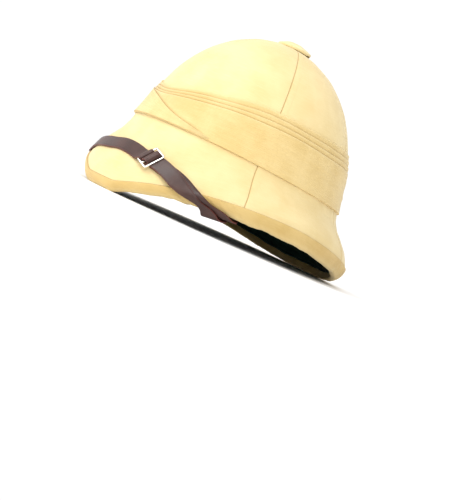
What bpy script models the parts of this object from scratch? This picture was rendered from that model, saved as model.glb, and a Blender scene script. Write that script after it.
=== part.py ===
"""Pith helmet, standing on a level surface. Metres, +Z up. The peak points to -Y, the long rear
brim to +Y, the wearer's left is +X.

Everything is laid out in the band frame first: its origin is on the crown's axis, in the plane of
the pugaree's lower edge. placed() then tips it so that the peak and the rear brim meet the floor.
"""

import math

import bmesh
import bpy
import numpy as np
from mathutils import Matrix, Vector

MM = 0.001

# Crown: a half ellipsoid that flares out just above the brim
CROWN_HALF_LENGTH = 122 * MM
CROWN_HALF_WIDTH = 108 * MM
CROWN_HEIGHT = 138 * MM
CROWN_FLARE = 5 * MM
FLARE_HEIGHT = 30 * MM
CROWN_RING_DEGREES = (74, 60, 47, 35, 24, 14, 6, 0)

# Brim: reaches from the crown's axis to the outermost line, drops from the band plane to the floor
FRONT_REACH = 160 * MM
REAR_REACH = 184 * MM
SIDE_REACH = 137 * MM
BRIM_SHIFT = 5 * MM
BRIM_ROUNDNESS = 1.85
BRIM_SWAY = 0.08
FRONT_DROP = 85 * MM
REAR_DROP = 69.5 * MM
SIDE_LIFT = 25 * MM
LIFT_PEAK = math.radians(75)
LEVEL_PEAK = math.radians(7.6)
LIFT_SOFT = 0.05
LIFT_POWER = 2.5
REST_SHARE = 0.03
BRIM_RINGS = 5

# The brim's turned edge, at the front, sides and rear
LIP_HEIGHT = {"front": 9 * MM, "side": 15 * MM, "rear": 13 * MM}
LIP_TUCK = {"front": 3 * MM, "side": 4 * MM, "rear": 7 * MM}
LIP_CHAMFER = 1.6 * MM
LIP_BULGE = 0.25

# Walls, and the clearance between pieces that lie on each other
SHELL_WALL = 5 * MM
BINDING_WALL = 1.2 * MM
LINING_WALL = 1 * MM
GAP = 0.3 * MM

# Pugaree: its full height, and its edges as shares of that height round one side
PUGAREE_HEIGHT = 62 * MM
PUGAREE_ROWS = (
    # degrees from the front, top of the smooth band, top of the pleats
    (0, 0.44, 0.58),
    (25, 0.53, 0.73),
    (50, 0.63, 0.88),
    (90, 0.68, 0.94),
    (140, 0.69, 0.99),
    (180, 0.69, 1.00),
)
PLEATS = 3
PLEAT_ROOT = 1.1 * MM
PLEAT_LIP = 2.2 * MM
BAND_THICK = 2.6 * MM
BAND_RINGS = 3

# The front fold: its upper edge as shares of PUGAREE_HEIGHT
FOLD_WALL = 1 * MM
FOLD_HALF_STATIONS = 5
FOLD_ROWS = (
    # degrees from the front, positive to the wearer's left; top edge
    (-34, 0.54),
    (-11, 0.37),
    (12, 0.15),
    (20, 0.10),
    (34, 0.03),
)

# Vent
VENT_HOLE_RADIUS = 9 * MM
CAP_RADIUS = 19 * MM
CAP_RISE = 3.4 * MM
CAP_EDGE = 1.8 * MM
CAP_STEPS = 30
CAP_ROWS = (
    # share of CAP_RADIUS, share of CAP_RISE
    (0, 1),
    (0.45, 0.9),
    (0.8, 0.55),
    (1, 0.05),
)
COLLAR_FLANGE = 3.5 * MM
COLLAR_RISE = 1.2 * MM
COLLAR_WALL = 2 * MM
COLLAR_TAIL = 1 * MM
COLLAR_STEPS = 24

# Chin strap, its slide and its two hidden loops
STRAP_WIDTH = 16 * MM
STRAP_WALL = 1.8 * MM
SLIDE_WIRE = 2 * MM
SLIDE_LENGTH = 17 * MM
SLIDE_BEVEL = 0.6 * MM
CURL_DEGREES = (280, 250, 215, 180, 145, 110, 75, 40)
CURL_REACH = 4.9 * MM
CURL_RISE = 3.4 * MM
CURL_SHIFT = 0.3 * MM
SLIDE_SIDE = 1.5 * MM
LOOP_SIDE = 1.8 * MM
BAR_CLEARANCE = 0.95 * MM
LOOP_POST = 2 * MM
LOOP_BAR = 4 * MM
LOOP_STANDOFF = 0.95 * MM
TURN_DEGREES = (60, 20, -20, -60)
STRAP_LOOP_DEGREES = 66
STRAP_LOOP_WRAP = 3.72
SLIDE_DEGREES = 20.3
SLIDE_WRAP = 0.625
STRAP_GAP = 0.5 * MM
STRAP_EASE = 0.8 * MM
STRAP_STEP = 9 * MM
STRAP_EDGE_STEP = 3 * MM
STRAP_EDGE_ZONE = 24 * MM
STRAP_LEAN_LIMIT = 0.6

# How far apart the strap's bed is sampled to find which way it faces
BED_SPAN = 2.5 * MM
BED_TURN = 0.03

# The strap's way over the brim. wrap: 0 band plane outside, 1 the brim's crease, 2 the middle of
# the brim's edge underneath, 3 the crease inside, 4 band plane inside.
TAIL_ROWS = (
    # degrees from the front, wrap
    (SLIDE_DEGREES, SLIDE_WRAP),
    (26, 0.7),
    (32.5, 0.83),
    (38, 1.04),
    (43.5, 1.5),
    (49.5, 2.0),
    (58.5, 3.0),
    (63.5, 3.45),
    (STRAP_LOOP_DEGREES, STRAP_LOOP_WRAP),
)
STRAP_ROWS = (
    (STRAP_LOOP_DEGREES, STRAP_LOOP_WRAP),
    (63.5, 3.45),
    (60.5, 3.0),
    (57, 2.0),
    (50.5, 1.5),
    (43, 1.0),
    (36, 0.85),
    (28, 0.73),
    (SLIDE_DEGREES, SLIDE_WRAP),
    (7, 0.505),
    (-7, 0.505),
    (-SLIDE_DEGREES, SLIDE_WRAP),
    (-32.5, 0.83),
    (-38, 1.04),
    (-43.5, 1.5),
    (-49.5, 2.0),
    (-58.5, 3.0),
    (-63.5, 3.45),
    (-STRAP_LOOP_DEGREES, STRAP_LOOP_WRAP),
)

STRAP_END_ROWS = (
    # degrees from the front, wrap
    (-63.5, 3.45),
    (-60, 3.1),
)

# The sections round the helmet that every wall is lofted through
STATIONS = 48
ANGLES = np.linspace(0, 2 * np.pi, STATIONS, endpoint=False)
UP = np.array([0.0, 0.0, 1.0])


def clear_scene():
    for obj in list(bpy.data.objects):
        bpy.data.objects.remove(obj, do_unlink=True)


def material(name, rgb, roughness, metallic=0.0):
    made = bpy.data.materials.new(name)
    made.use_nodes = True
    shader = made.node_tree.nodes["Principled BSDF"]
    shader.inputs["Base Color"].default_value = (*rgb, 1.0)
    shader.inputs["Roughness"].default_value = roughness
    shader.inputs["Metallic"].default_value = metallic
    made.diffuse_color = (*rgb, 1.0)
    return made


def add_object(name, bm, surface):
    """Links a bmesh to the scene as an object with smooth faces and sharp corners."""
    bmesh.ops.recalc_face_normals(bm, faces=bm.faces)
    mesh = bpy.data.meshes.new(name)
    bm.to_mesh(mesh)
    bm.free()
    mesh.shade_smooth()
    mesh.set_sharp_from_angle(angle=math.radians(40))
    mesh.materials.append(surface)
    obj = bpy.data.objects.new(name, mesh)
    bpy.context.scene.collection.objects.link(obj)
    return obj


def unit(vectors):
    return vectors / np.linalg.norm(vectors, axis=-1, keepdims=True)


def by_side(sizes, angles):
    """A size that is given at the front, sides and rear, eased between them round the brim."""
    ahead = np.cos(angles)
    end = np.where(ahead > 0, sizes["front"], sizes["rear"])
    return sizes["side"] + (end - sizes["side"]) * ahead**2


def eased(rows, column, degrees):
    """Reads a column of a table at the given angles, on a smooth curve through its rows."""
    table = np.array(rows, float)
    where = np.clip(degrees, table[0, 0], table[-1, 0])
    slope = np.gradient(table[:, column], table[:, 0])
    k = np.clip(np.searchsorted(table[:, 0], where) - 1, 0, len(table) - 2)
    span = table[k + 1, 0] - table[k, 0]
    u = (where - table[k, 0]) / span
    rise = table[k + 1, column] - table[k, column]
    start = slope[k] * span
    end = slope[k + 1] * span
    return table[k, column] + u * (start + u * (3 * rise - 2 * start - end + u * (start + end - 2 * rise)))


def floor_height(y):
    """Height of the floor in the band frame: the plane under the peak and the rear brim."""
    share = (y + FRONT_REACH) / (FRONT_REACH + REAR_REACH)
    return -(FRONT_DROP + (REAR_DROP - FRONT_DROP) * share)


def side_lift(angles):
    """How far the brim's edge arches off the floor: nothing at both ends, most beside the temples.

    It rises soon behind the peak and falls more slowly to the rear.
    """
    round_half = np.abs((angles + np.pi) % (2 * np.pi) - np.pi)
    beyond = np.clip((round_half - LEVEL_PEAK) / (LIFT_PEAK - LEVEL_PEAK), 0, 1)
    front_rise = 1 - (1 - beyond**2 / (beyond + LIFT_SOFT)) ** LIFT_POWER
    from_rear = (np.pi - round_half) / (np.pi - LIFT_PEAK)
    rise = np.where(round_half < LIFT_PEAK, front_rise, np.sin(from_rear * np.pi / 2) ** 2)
    return SIDE_LIFT * np.maximum(rise - REST_SHARE, 0) / (1 - REST_SHARE)


def rim_plan(angles, inset):
    """Outline of the brim seen from above, drawn in by inset."""
    power = 2 / BRIM_ROUNDNESS
    across = np.sin(angles)
    along = np.cos(angles)
    length = np.where(along > 0, FRONT_REACH + BRIM_SHIFT, REAR_REACH - BRIM_SHIFT) - inset
    x = (SIDE_REACH - inset) * np.sign(across) * np.abs(across) ** power
    y = BRIM_SHIFT - length * np.sign(along) * np.abs(along) ** power
    return x, y


def crown_point(angles, height):
    """The crown's outer face at a height above the band plane."""
    share = np.sqrt(np.maximum(1 - (height / CROWN_HEIGHT) ** 2, 0))
    flare = CROWN_FLARE * np.maximum(1 - height / FLARE_HEIGHT, 0) ** 2
    x = (CROWN_HALF_WIDTH * share + flare) * np.sin(angles)
    y = -(CROWN_HALF_LENGTH * share + flare) * np.cos(angles)
    return np.stack([x, y, height + 0 * x], axis=-1)


def crown_offset(angles, height, distance):
    """Points at a distance outside the crown's face."""
    small = 0.1 * MM
    across = crown_point(angles + 0.001, height) - crown_point(angles - 0.001, height)
    upward = crown_point(angles, height + small) - crown_point(angles, height - small)
    return crown_point(angles, height) + unit(np.cross(across, upward)) * np.reshape(distance, (-1, 1))


def skin_rings():
    """Rings of the shell's outer face from the vent hole to the brim's lower edge, and its normals.

    The last two rings are the middle of the lip and its lower outer corner.
    """
    hole = np.stack([np.sin(ANGLES), -np.cos(ANGLES)], axis=-1) * VENT_HOLE_RADIUS
    spread = (hole[:, 0] / CROWN_HALF_WIDTH) ** 2 + (hole[:, 1] / CROWN_HALF_LENGTH) ** 2
    rings = [np.column_stack([hole, CROWN_HEIGHT * np.sqrt(1 - spread)])]
    rings += [crown_point(ANGLES, CROWN_HEIGHT * math.sin(math.radians(d))) for d in CROWN_RING_DEGREES]
    base = rings[-1]
    cover = GAP + BINDING_WALL
    x, y = rim_plan(ANGLES, cover)
    tuck = by_side(LIP_TUCK, ANGLES)
    low_x, low_y = rim_plan(ANGLES, cover + tuck)
    low_z = floor_height(low_y) + side_lift(ANGLES) + cover
    crease = np.column_stack([x, y, low_z + by_side(LIP_HEIGHT, ANGLES) - cover])
    low = np.column_stack([low_x, low_y, low_z])
    for k in range(1, BRIM_RINGS + 1):
        share = k / BRIM_RINGS
        sway = share - BRIM_SWAY * math.sin(2 * math.pi * share)
        ring = base + (crease - base) * sway
        ring[:, 2] = base[:, 2] + (crease[:, 2] - base[:, 2]) * share
        rings.append(ring)
    bulge = unit(crease - low * [1, 1, 0] - crease * [0, 0, 1])
    middle = (crease + low) / 2 + bulge * tuck[:, None] * LIP_BULGE
    rings += [middle, low]
    outer = np.array(rings)
    around = np.roll(outer, -1, axis=1) - np.roll(outer, 1, axis=1)
    down = np.gradient(outer, axis=0)
    normals = unit(np.cross(down, around))
    normals[0] = UP
    return outer, normals


def placement():
    """Turn and shift that stand the helmet on the floor with its box's bottom centre at the origin."""
    tilt = math.atan2(FRONT_DROP - REAR_DROP, FRONT_REACH + REAR_REACH)
    turn = Matrix.Rotation(-tilt, 4, "X")
    x, y = rim_plan(ANGLES, 0)
    low = floor_height(y) + side_lift(ANGLES) + by_side(LIP_HEIGHT, ANGLES)
    ends = [turn @ Vector(p) for p in zip(x, y, low)]
    middle = (min(p.y for p in ends) + max(p.y for p in ends)) / 2
    floor = turn @ Vector((0, 0, float(floor_height(0.0))))
    return Matrix.Translation((0, -middle, -floor.z)) @ turn


PLACE = placement()
TURN = np.array(PLACE.to_3x3())
SHIFT = np.array(PLACE.translation)


def placed(points):
    return np.asarray(points) @ TURN.T + SHIFT


def loft(bm, rings, closed_section=True, closed_round=True):
    """Joins rings of points, given in the band frame, with quads. Returns the vertices as rows."""
    rows = [[bm.verts.new(p) for p in placed(ring)] for ring in rings]
    pairs = list(zip(rows, rows[1:] + rows[:1])) if closed_section else list(zip(rows, rows[1:]))
    for one, two in pairs:
        last = len(one) if closed_round else len(one) - 1
        for i in range(last):
            j = (i + 1) % len(one)
            bm.faces.new((one[i], one[j], two[j], two[i]))
    return rows


def ring_solid(name, rings, surface):
    """A closed ring whose section is the loop of the given rings."""
    bm = bmesh.new()
    loft(bm, rings)
    return add_object(name, bm, surface)


OUTER, NORMAL = skin_rings()
CREASE = len(OUTER) - 3
BASE = CREASE - BRIM_RINGS


def inward(distance, last=None):
    """Rings at a distance inside the shell's outer face."""
    return (OUTER - NORMAL * distance)[:last]


def low_corner(outward):
    """The shell's lower corner ring moved outward, kept level with the floor."""
    direction = NORMAL[-1] * [1, 1, 0]
    ring = OUTER[-1] + unit(direction) * outward
    ring[:, 2] += floor_height(ring[:, 1]) - floor_height(OUTER[-1][:, 1])
    return ring


def make_shell(surface):
    inner = inward(SHELL_WALL)
    inner[-1] = low_corner(-SHELL_WALL)
    return ring_solid("helmet_shell", [*OUTER, *inner[::-1]], surface)


def binding_sides():
    """The binding's outside faces, from the crease over the edge to the crease inside."""
    reach = GAP + BINDING_WALL
    drop = UP * reach
    chamfer = UP * LIP_CHAMFER
    return [
        OUTER[CREASE] + NORMAL[CREASE] * reach,
        OUTER[CREASE + 1] + NORMAL[CREASE + 1] * reach,
        low_corner(reach) - drop + chamfer,
        low_corner(reach - LIP_CHAMFER) - drop,
        low_corner(-SHELL_WALL - reach + LIP_CHAMFER) - drop,
        low_corner(-SHELL_WALL - reach) - drop + chamfer,
        inward(SHELL_WALL + reach)[CREASE + 1],
        inward(SHELL_WALL + reach)[CREASE],
    ]


def make_binding(surface):
    cavity = [
        inward(SHELL_WALL + GAP)[CREASE],
        inward(SHELL_WALL + GAP)[CREASE + 1],
        low_corner(-SHELL_WALL - GAP) - UP * GAP,
        low_corner(GAP) - UP * GAP,
        OUTER[CREASE + 1] + NORMAL[CREASE + 1] * GAP,
        OUTER[CREASE] + NORMAL[CREASE] * GAP,
    ]
    return ring_solid("brim_binding", [*binding_sides(), *cavity], surface)


def lining_rings(distance):
    """Rings of a lining face, ending just short of the binding."""
    rings = inward(distance, CREASE + 1).copy()
    rings[-1] += unit(rings[-2] - rings[-1]) * GAP
    rings[0] = rings[0] + unit(rings[0] * [1, 1, 0]) * GAP
    return rings


def make_lining(surface):
    back = lining_rings(SHELL_WALL + GAP)
    face = lining_rings(SHELL_WALL + GAP + LINING_WALL)
    return ring_solid("lining", [*back, *face[::-1]], surface)


def pugaree_edges(angles):
    """Heights of the smooth band's top and of the pleats' top, above the band plane."""
    degrees = np.degrees(np.abs((angles + np.pi) % (2 * np.pi) - np.pi))
    return (
        PUGAREE_HEIGHT * eased(PUGAREE_ROWS, 1, degrees),
        PUGAREE_HEIGHT * eased(PUGAREE_ROWS, 2, degrees),
    )


def make_pugaree(surface):
    band_top, pleat_top = pugaree_edges(ANGLES)
    shares = np.linspace(0, 1, BAND_RINGS)
    levels = [GAP + (band_top - GAP) * share for share in shares]
    face = [crown_offset(ANGLES, level, BAND_THICK) for level in levels]
    back = [crown_offset(ANGLES, level, GAP) for level in levels]
    ring_solid("pugaree_band", [*back, *face[::-1]], surface)
    step = (pleat_top - band_top) / PLEATS
    for k in range(PLEATS):
        low = band_top + step * k + GAP
        high = band_top + step * (k + 1)
        section = [
            crown_offset(ANGLES, low, GAP),
            crown_offset(ANGLES, high, GAP),
            crown_offset(ANGLES, high, PLEAT_LIP),
            crown_offset(ANGLES, low, PLEAT_ROOT),
        ]
        ring_solid(f"pugaree_pleat_{k + 1}", section, surface)


def make_front_fold(surface):
    near = np.arange(-FOLD_HALF_STATIONS, FOLD_HALF_STATIONS + 1)
    angles = near * 2 * np.pi / STATIONS
    top = PUGAREE_HEIGHT * eased(FOLD_ROWS, 1, np.degrees(angles))
    levels = [2 * GAP + (top - 2 * GAP) * share for share in np.linspace(0, 1, BAND_RINGS)]
    inside = BAND_THICK + GAP
    back = [crown_offset(angles, level, inside) for level in levels]
    face = [crown_offset(angles, level, inside + FOLD_WALL) for level in levels]
    bm = bmesh.new()
    rows = loft(bm, [*back, *face[::-1]], closed_round=False)
    bm.faces.new([row[0] for row in rows])
    bm.faces.new([row[-1] for row in rows])
    bmesh.ops.triangulate(bm, faces=[f for f in bm.faces if len(f.verts) > 4])
    return add_object("pugaree_front_fold", bm, surface)


def turned(name, profile, steps, surface, closed):
    """A solid of revolution about Z from (radius, height) points that run down its outer side."""
    mesh = bpy.data.meshes.new(name)
    edges = [(i, i + 1) for i in range(len(profile) - 1)]
    if closed:
        edges.append((len(profile) - 1, 0))
    mesh.from_pydata([(r, 0, z) for r, z in profile], edges, [])
    mesh.materials.append(surface)
    obj = bpy.data.objects.new(name, mesh)
    bpy.context.scene.collection.objects.link(obj)
    screw = obj.modifiers.new("Screw", "SCREW")
    screw.steps = steps
    screw.render_steps = steps
    screw.use_merge_vertices = True
    screw.merge_threshold = 0.01 * MM
    screw.use_smooth_shade = True
    return obj


def stand_on_crown(obj):
    """Puts a turned piece on the crown's axis, with its zero height at the crown's top."""
    obj.matrix_world = PLACE @ Matrix.Translation((0, 0, CROWN_HEIGHT))


def make_vent(cloth, metal):
    hole = VENT_HOLE_RADIUS - GAP
    seat = GAP - CROWN_HEIGHT * (1 - math.sqrt(1 - (VENT_HOLE_RADIUS / CROWN_HALF_LENGTH) ** 2))
    tail = -(SHELL_WALL + GAP + LINING_WALL + COLLAR_TAIL)
    flange = VENT_HOLE_RADIUS + COLLAR_FLANGE
    collar = turned(
        "vent_collar",
        [
            (hole - COLLAR_WALL, COLLAR_RISE),
            (flange, COLLAR_RISE),
            (flange, seat),
            (hole, seat),
            (hole, tail),
            (hole - COLLAR_WALL, tail),
        ],
        COLLAR_STEPS,
        metal,
        closed=True,
    )
    stand_on_crown(collar)
    under = COLLAR_RISE + GAP
    cap = turned(
        "vent_cap",
        [
            *[(CAP_RADIUS * across, under + CAP_RISE * rise) for across, rise in CAP_ROWS],
            (CAP_RADIUS, under - CAP_EDGE),
            (CAP_RADIUS - CAP_EDGE, under - CAP_EDGE),
            (CAP_RADIUS - CAP_EDGE, under),
            (0, under),
        ],
        CAP_STEPS,
        cloth,
        closed=False,
    )
    stand_on_crown(cap)


class Envelope:
    """The face that the strap lies on: down the brim, over its bound edge and up the lining.

    A point is given by its angle and by the length along the section, counted from the middle of
    the brim's edge: negative outside, positive inside.
    """

    def __init__(self):
        lining = lining_rings(SHELL_WALL + GAP + LINING_WALL)
        sides = binding_sides()
        edge = (sides[3] + sides[4]) / 2
        outside = [*OUTER[BASE:CREASE], *sides[:4]]
        inside = [*sides[4:], *lining[BASE:CREASE][::-1]]
        self.rings = np.array([*outside, edge, *inside])
        self.edge = len(outside)
        steps = np.linalg.norm(np.diff(self.rings, axis=0), axis=2)
        self.length = np.concatenate([np.zeros((1, STATIONS)), np.cumsum(steps, axis=0)])
        self.length -= self.length[self.edge]
        self.marks = (0, BRIM_RINGS, self.edge, self.edge + 4, len(self.rings) - 1)

    def station(self, angle):
        """The section at an angle, between the two stations beside it."""
        place = (angle / (2 * np.pi) * STATIONS) % STATIONS
        i = int(place) % STATIONS
        j = (i + 1) % STATIONS
        u = place - int(place)
        rings = self.rings[:, i] * (1 - u) + self.rings[:, j] * u
        length = self.length[:, i] * (1 - u) + self.length[:, j] * u
        return rings, length

    def along(self, angle, wrap):
        """Length along the section at a wrap number."""
        _, length = self.station(angle)
        return float(np.interp(wrap, range(5), [length[m] for m in self.marks]))

    def point(self, angle, length):
        rings, lengths = self.station(angle)
        return np.array([np.interp(length, lengths, rings[:, axis]) for axis in range(3)])

    def normal(self, angle, length):
        """Direction away from the wall, smoothed over the span on both sides of the point."""
        along = self.point(angle, length + BED_SPAN) - self.point(angle, length - BED_SPAN)
        around = self.point(angle + BED_TURN, length) - self.point(angle - BED_TURN, length)
        return unit(np.cross(along, around))

    def radius(self, angle, length):
        return float(np.linalg.norm(self.point(angle, length)[:2]))


def smooth_path(points):
    """A curve through control points, sampled more closely where it goes over the brim's edge."""
    points = np.array(points, float)
    ends = [2 * points[0] - points[1], *points, 2 * points[-1] - points[-2]]
    found = []
    for a, b, c, d in zip(ends, ends[1:], ends[2:], ends[3:]):
        near_edge = min(abs(b[2]), abs(c[2])) < STRAP_EDGE_ZONE
        step = STRAP_EDGE_STEP if near_edge else STRAP_STEP
        count = max(1, round(float(np.linalg.norm(c[1:] - b[1:])) / step))
        for u in np.arange(count) / count:
            square = 2 * a - 5 * b + 4 * c - d
            cube = 3 * b - 3 * c + d - a
            found.append(0.5 * (2 * b + (c - a) * u + square * u**2 + cube * u**3))
    return np.array([*found, points[-1]])


def surface_leg(face, rows, height):
    """A leg of the strap on the envelope.

    Each point is (angle, length round the brim, length along the section, height).
    """
    leg = []
    for degrees, wrap in rows:
        angle = math.radians(degrees)
        along = face.along(angle, wrap)
        ease = STRAP_EASE * max(0, 1 - (along / STRAP_EDGE_ZONE) ** 2)
        leg.append((angle, angle * SIDE_REACH, along, height + ease))
    return leg


def ahead_of(point, heading, distance, height):
    """A path point moved along a heading on the envelope, at a height of its own."""
    angle, arc, along, _ = point
    shift = heading * distance
    return (angle + shift[0] / SIDE_REACH, arc + shift[0], along + shift[1], height)


def heading_from(one, two):
    return unit(np.array(two[1:3]) - np.array(one[1:3]))


def turn_over_bar(before, at_bar, low, high):
    """Points that carry the strap on past a loop's bar and back, from its low side to its high side."""
    heading = heading_from(before, at_bar)
    radius = (high - low) / 2
    reach = LOOP_BAR / 2 + GAP
    return [
        ahead_of(at_bar, heading, reach + radius * math.cos(a), (low + high) / 2 - radius * math.sin(a))
        for a in np.radians(TURN_DEGREES)
    ]


def strap_path(face):
    """The whole strap as one path: rolled end at the slide, tail, left loop, over the peak, right loop."""
    under = STRAP_GAP + STRAP_WALL / 2
    over = under + STRAP_WALL + GAP
    back = under + STRAP_WALL + 2 * BAR_CLEARANCE + LOOP_POST
    tail = surface_leg(face, TAIL_ROWS, over)
    main = surface_leg(face, STRAP_ROWS, under)
    at_slide = STRAP_ROWS.index((SLIDE_DEGREES, SLIDE_WRAP))
    heading = heading_from(main[at_slide + 1], main[at_slide - 1])
    roll = STRAP_WALL / 2 + BAR_CLEARANCE + SLIDE_WIRE / 2
    curl = []
    for a in np.radians(CURL_DEGREES):
        rise = roll if math.cos(a) > 0 else CURL_RISE
        reach = CURL_SHIFT - CURL_REACH * math.sin(a)
        curl.append(ahead_of(tail[0], heading, reach, over + roll - rise * math.cos(a)))
    round_left = turn_over_bar(main[1], main[0], under, back)[::-1]
    round_right = turn_over_bar(main[-2], main[-1], under, back)
    tail[-1] = (*tail[-1][:3], back)
    end = [(*main[-1][:3], back), *surface_leg(face, STRAP_END_ROWS, over)]
    return smooth_path([*curl, *tail, *round_left, *main, *round_right, *end])


def strap_columns(face, path):
    """Three rows of points along the strap: one edge, its middle line and the other edge.

    Across its width the strap is straight, except over the brim's edge, where it follows the edge.
    """
    travel = np.gradient(path[:, 1:3], axis=0)
    speed = np.linalg.norm(travel, axis=1)
    heading = travel / np.maximum(speed, 1e-9)[:, None]
    side = np.column_stack([-heading[:, 1], heading[:, 0]])
    for i in range(1, len(side)):
        if side[i] @ side[i - 1] < 0:
            side[i] = -side[i]
    weight = np.minimum(speed, STRAP_WALL)[:, None] + 1e-6
    for _ in range(3):
        blend = side * weight
        side[1:-1] = unit(blend[:-2] + blend[1:-1] + blend[2:])
    flat = np.clip(np.abs(path[:, 2:3]) / STRAP_EDGE_ZONE, 0, 1) ** 2
    lean = side * np.hstack([np.ones_like(flat), flat])
    crossing = np.maximum(np.abs((lean * side).sum(axis=1, keepdims=True)), STRAP_LEAN_LIMIT)
    side = lean / crossing
    columns = []
    for share in (-0.5, 0, 0.5):
        column = []
        for (angle, _, along, height), across in zip(path, side):
            shift = across * STRAP_WIDTH * share
            there = angle + shift[0] / face.radius(angle, along)
            length = along + shift[1]
            column.append(face.point(there, length) + face.normal(there, length) * height)
        columns.append(np.array(column))
    left, middle, right = columns
    half = unit(right - left) * STRAP_WIDTH / 2
    left = left * (1 - flat) + (middle - half) * flat
    right = right * (1 - flat) + (middle + half) * flat
    return left, middle, right


def make_strap(face, surface):
    path = strap_path(face)
    columns = strap_columns(face, path)
    left, middle, right = columns
    forward = unit(np.gradient(middle, axis=0))
    across = unit(right - left)
    thick = unit(np.cross(across, forward)) * STRAP_WALL / 2
    rings = [left + thick, middle + thick, right + thick, right - thick, middle - thick, left - thick]
    bm = bmesh.new()
    rows = loft(bm, rings, closed_round=False)
    bm.faces.new([row[0] for row in rows])
    bm.faces.new([row[-1] for row in rows])
    bmesh.ops.triangulate(bm, faces=[f for f in bm.faces if len(f.verts) > 4])
    add_object("chin_strap", bm, surface)
    return path, columns


def strap_frame(face, path, columns, degrees, wrap):
    """A local frame on the strap's lower layer: X along the strap, Z away from the wall."""
    angle = math.radians(degrees)
    place = np.array([angle * SIDE_REACH, face.along(angle, wrap), STRAP_GAP + STRAP_WALL / 2])
    i = int(np.argmin(np.linalg.norm(path[:, 1:] - place, axis=1)))
    left, middle, right = columns
    z = face.normal(path[i, 0], path[i, 2])
    y = right[i] - left[i]
    y = unit(y - z * (y @ z))
    x = np.cross(y, z)
    origin = middle[i] - z * path[i, 3]
    local = np.eye(4)
    local[:3] = np.column_stack([x, y, z, origin])
    return PLACE @ Matrix(local.tolist())


def frame_plate(name, outer, windows, thick, bevel, surface):
    """A flat plate in XY with rectangular windows, bevelled all round."""
    xs = sorted({-outer[0] / 2, outer[0] / 2, *[v for w in windows for v in (w[0], w[1])]})
    ys = sorted({-outer[1] / 2, outer[1] / 2, *[v for w in windows for v in (w[2], w[3])]})
    bm = bmesh.new()
    grid = [[bm.verts.new((x, y, -thick / 2)) for y in ys] for x in xs]
    for i in range(len(xs) - 1):
        for j in range(len(ys) - 1):
            cx = (xs[i] + xs[i + 1]) / 2
            cy = (ys[j] + ys[j + 1]) / 2
            if any(w[0] < cx < w[1] and w[2] < cy < w[3] for w in windows):
                continue
            bm.faces.new((grid[i][j], grid[i + 1][j], grid[i + 1][j + 1], grid[i][j + 1]))
    bmesh.ops.delete(bm, geom=[v for v in bm.verts if not v.link_faces], context="VERTS")
    made = bmesh.ops.extrude_face_region(bm, geom=bm.faces[:])
    raised = [v for v in made["geom"] if isinstance(v, bmesh.types.BMVert)]
    bmesh.ops.translate(bm, vec=(0, 0, thick), verts=raised)
    obj = add_object(name, bm, surface)
    rounding = obj.modifiers.new("Bevel", "BEVEL")
    rounding.width = bevel
    rounding.segments = 1
    rounding.limit_method = "ANGLE"
    return obj


def make_slide(place, metal):
    """A rectangular slide with a middle bar, on the strap's two layers."""
    wide = STRAP_WIDTH + 2 * SLIDE_SIDE
    outer = (SLIDE_LENGTH, wide + 2 * SLIDE_WIRE)
    inner_x = SLIDE_LENGTH / 2 - SLIDE_WIRE
    windows = [
        (-inner_x, -SLIDE_WIRE / 2, -wide / 2, wide / 2),
        (SLIDE_WIRE / 2, inner_x, -wide / 2, wide / 2),
    ]
    slide = frame_plate("strap_slide", outer, windows, SLIDE_WIRE, SLIDE_BEVEL, metal)
    height = STRAP_GAP + 2 * STRAP_WALL + GAP + BAR_CLEARANCE + SLIDE_WIRE / 2
    slide.matrix_world = place @ Matrix.Translation((0, 0, height))


def make_loop(name, place, metal):
    """A plain loop whose bar holds the strap's turn against the lining."""
    wide = STRAP_WIDTH + 2 * LOOP_SIDE
    span = wide + 2 * LOOP_POST
    bar_low = STRAP_GAP + STRAP_WALL + BAR_CLEARANCE
    bm = bmesh.new()
    outline = [
        (-span / 2, LOOP_STANDOFF),
        (-wide / 2, LOOP_STANDOFF),
        (-wide / 2, bar_low),
        (wide / 2, bar_low),
        (wide / 2, LOOP_STANDOFF),
        (span / 2, LOOP_STANDOFF),
        (span / 2, bar_low + LOOP_POST),
        (-span / 2, bar_low + LOOP_POST),
    ]
    face_verts = [bm.verts.new((-LOOP_BAR / 2, y, z)) for y, z in outline]
    bm.faces.new(face_verts)
    made = bmesh.ops.extrude_face_region(bm, geom=bm.faces[:])
    moved = [v for v in made["geom"] if isinstance(v, bmesh.types.BMVert)]
    bmesh.ops.translate(bm, vec=(LOOP_BAR, 0, 0), verts=moved)
    obj = add_object(name, bm, metal)
    obj.matrix_world = place


def main():
    clear_scene()
    cloth = material("khaki_cloth", rgb=(0.80, 0.66, 0.40), roughness=0.9)
    edging = material("khaki_binding", rgb=(0.74, 0.60, 0.34), roughness=0.9)
    wound_cloth = material("khaki_wrap", rgb=(0.72, 0.58, 0.32), roughness=0.92)
    green = material("green_lining", rgb=(0.01, 0.05, 0.035), roughness=0.85)
    leather = material("brown_leather", rgb=(0.10, 0.05, 0.04), roughness=0.45)
    steel = material("steel", rgb=(0.75, 0.75, 0.74), roughness=0.3, metallic=1.0)
    make_shell(cloth)
    make_binding(edging)
    make_lining(green)
    make_pugaree(wound_cloth)
    make_front_fold(wound_cloth)
    make_vent(cloth, steel)
    face = Envelope()
    path, columns = make_strap(face, leather)
    make_slide(strap_frame(face, path, columns, SLIDE_DEGREES, SLIDE_WRAP), steel)
    for name, side in (("strap_loop_left", 1), ("strap_loop_right", -1)):
        place = strap_frame(face, path, columns, side * STRAP_LOOP_DEGREES, STRAP_LOOP_WRAP)
        make_loop(name, place, steel)


main()
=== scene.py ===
"""Looks of a khaki pith helmet, built round its solids. Metres, +Z up, -Y the front peak, +X the
wearer's left.

Shapes are worked out in the band frame, whose origin is on the crown's axis in the plane of the
pugaree's lower edge. in_row() carries its points to where the helmet stands on the floor. Most
faces are grids: rows run down the section and columns run round the helmet by an angle that starts
at the front and grows towards the wearer's left.
"""

import math

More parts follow.
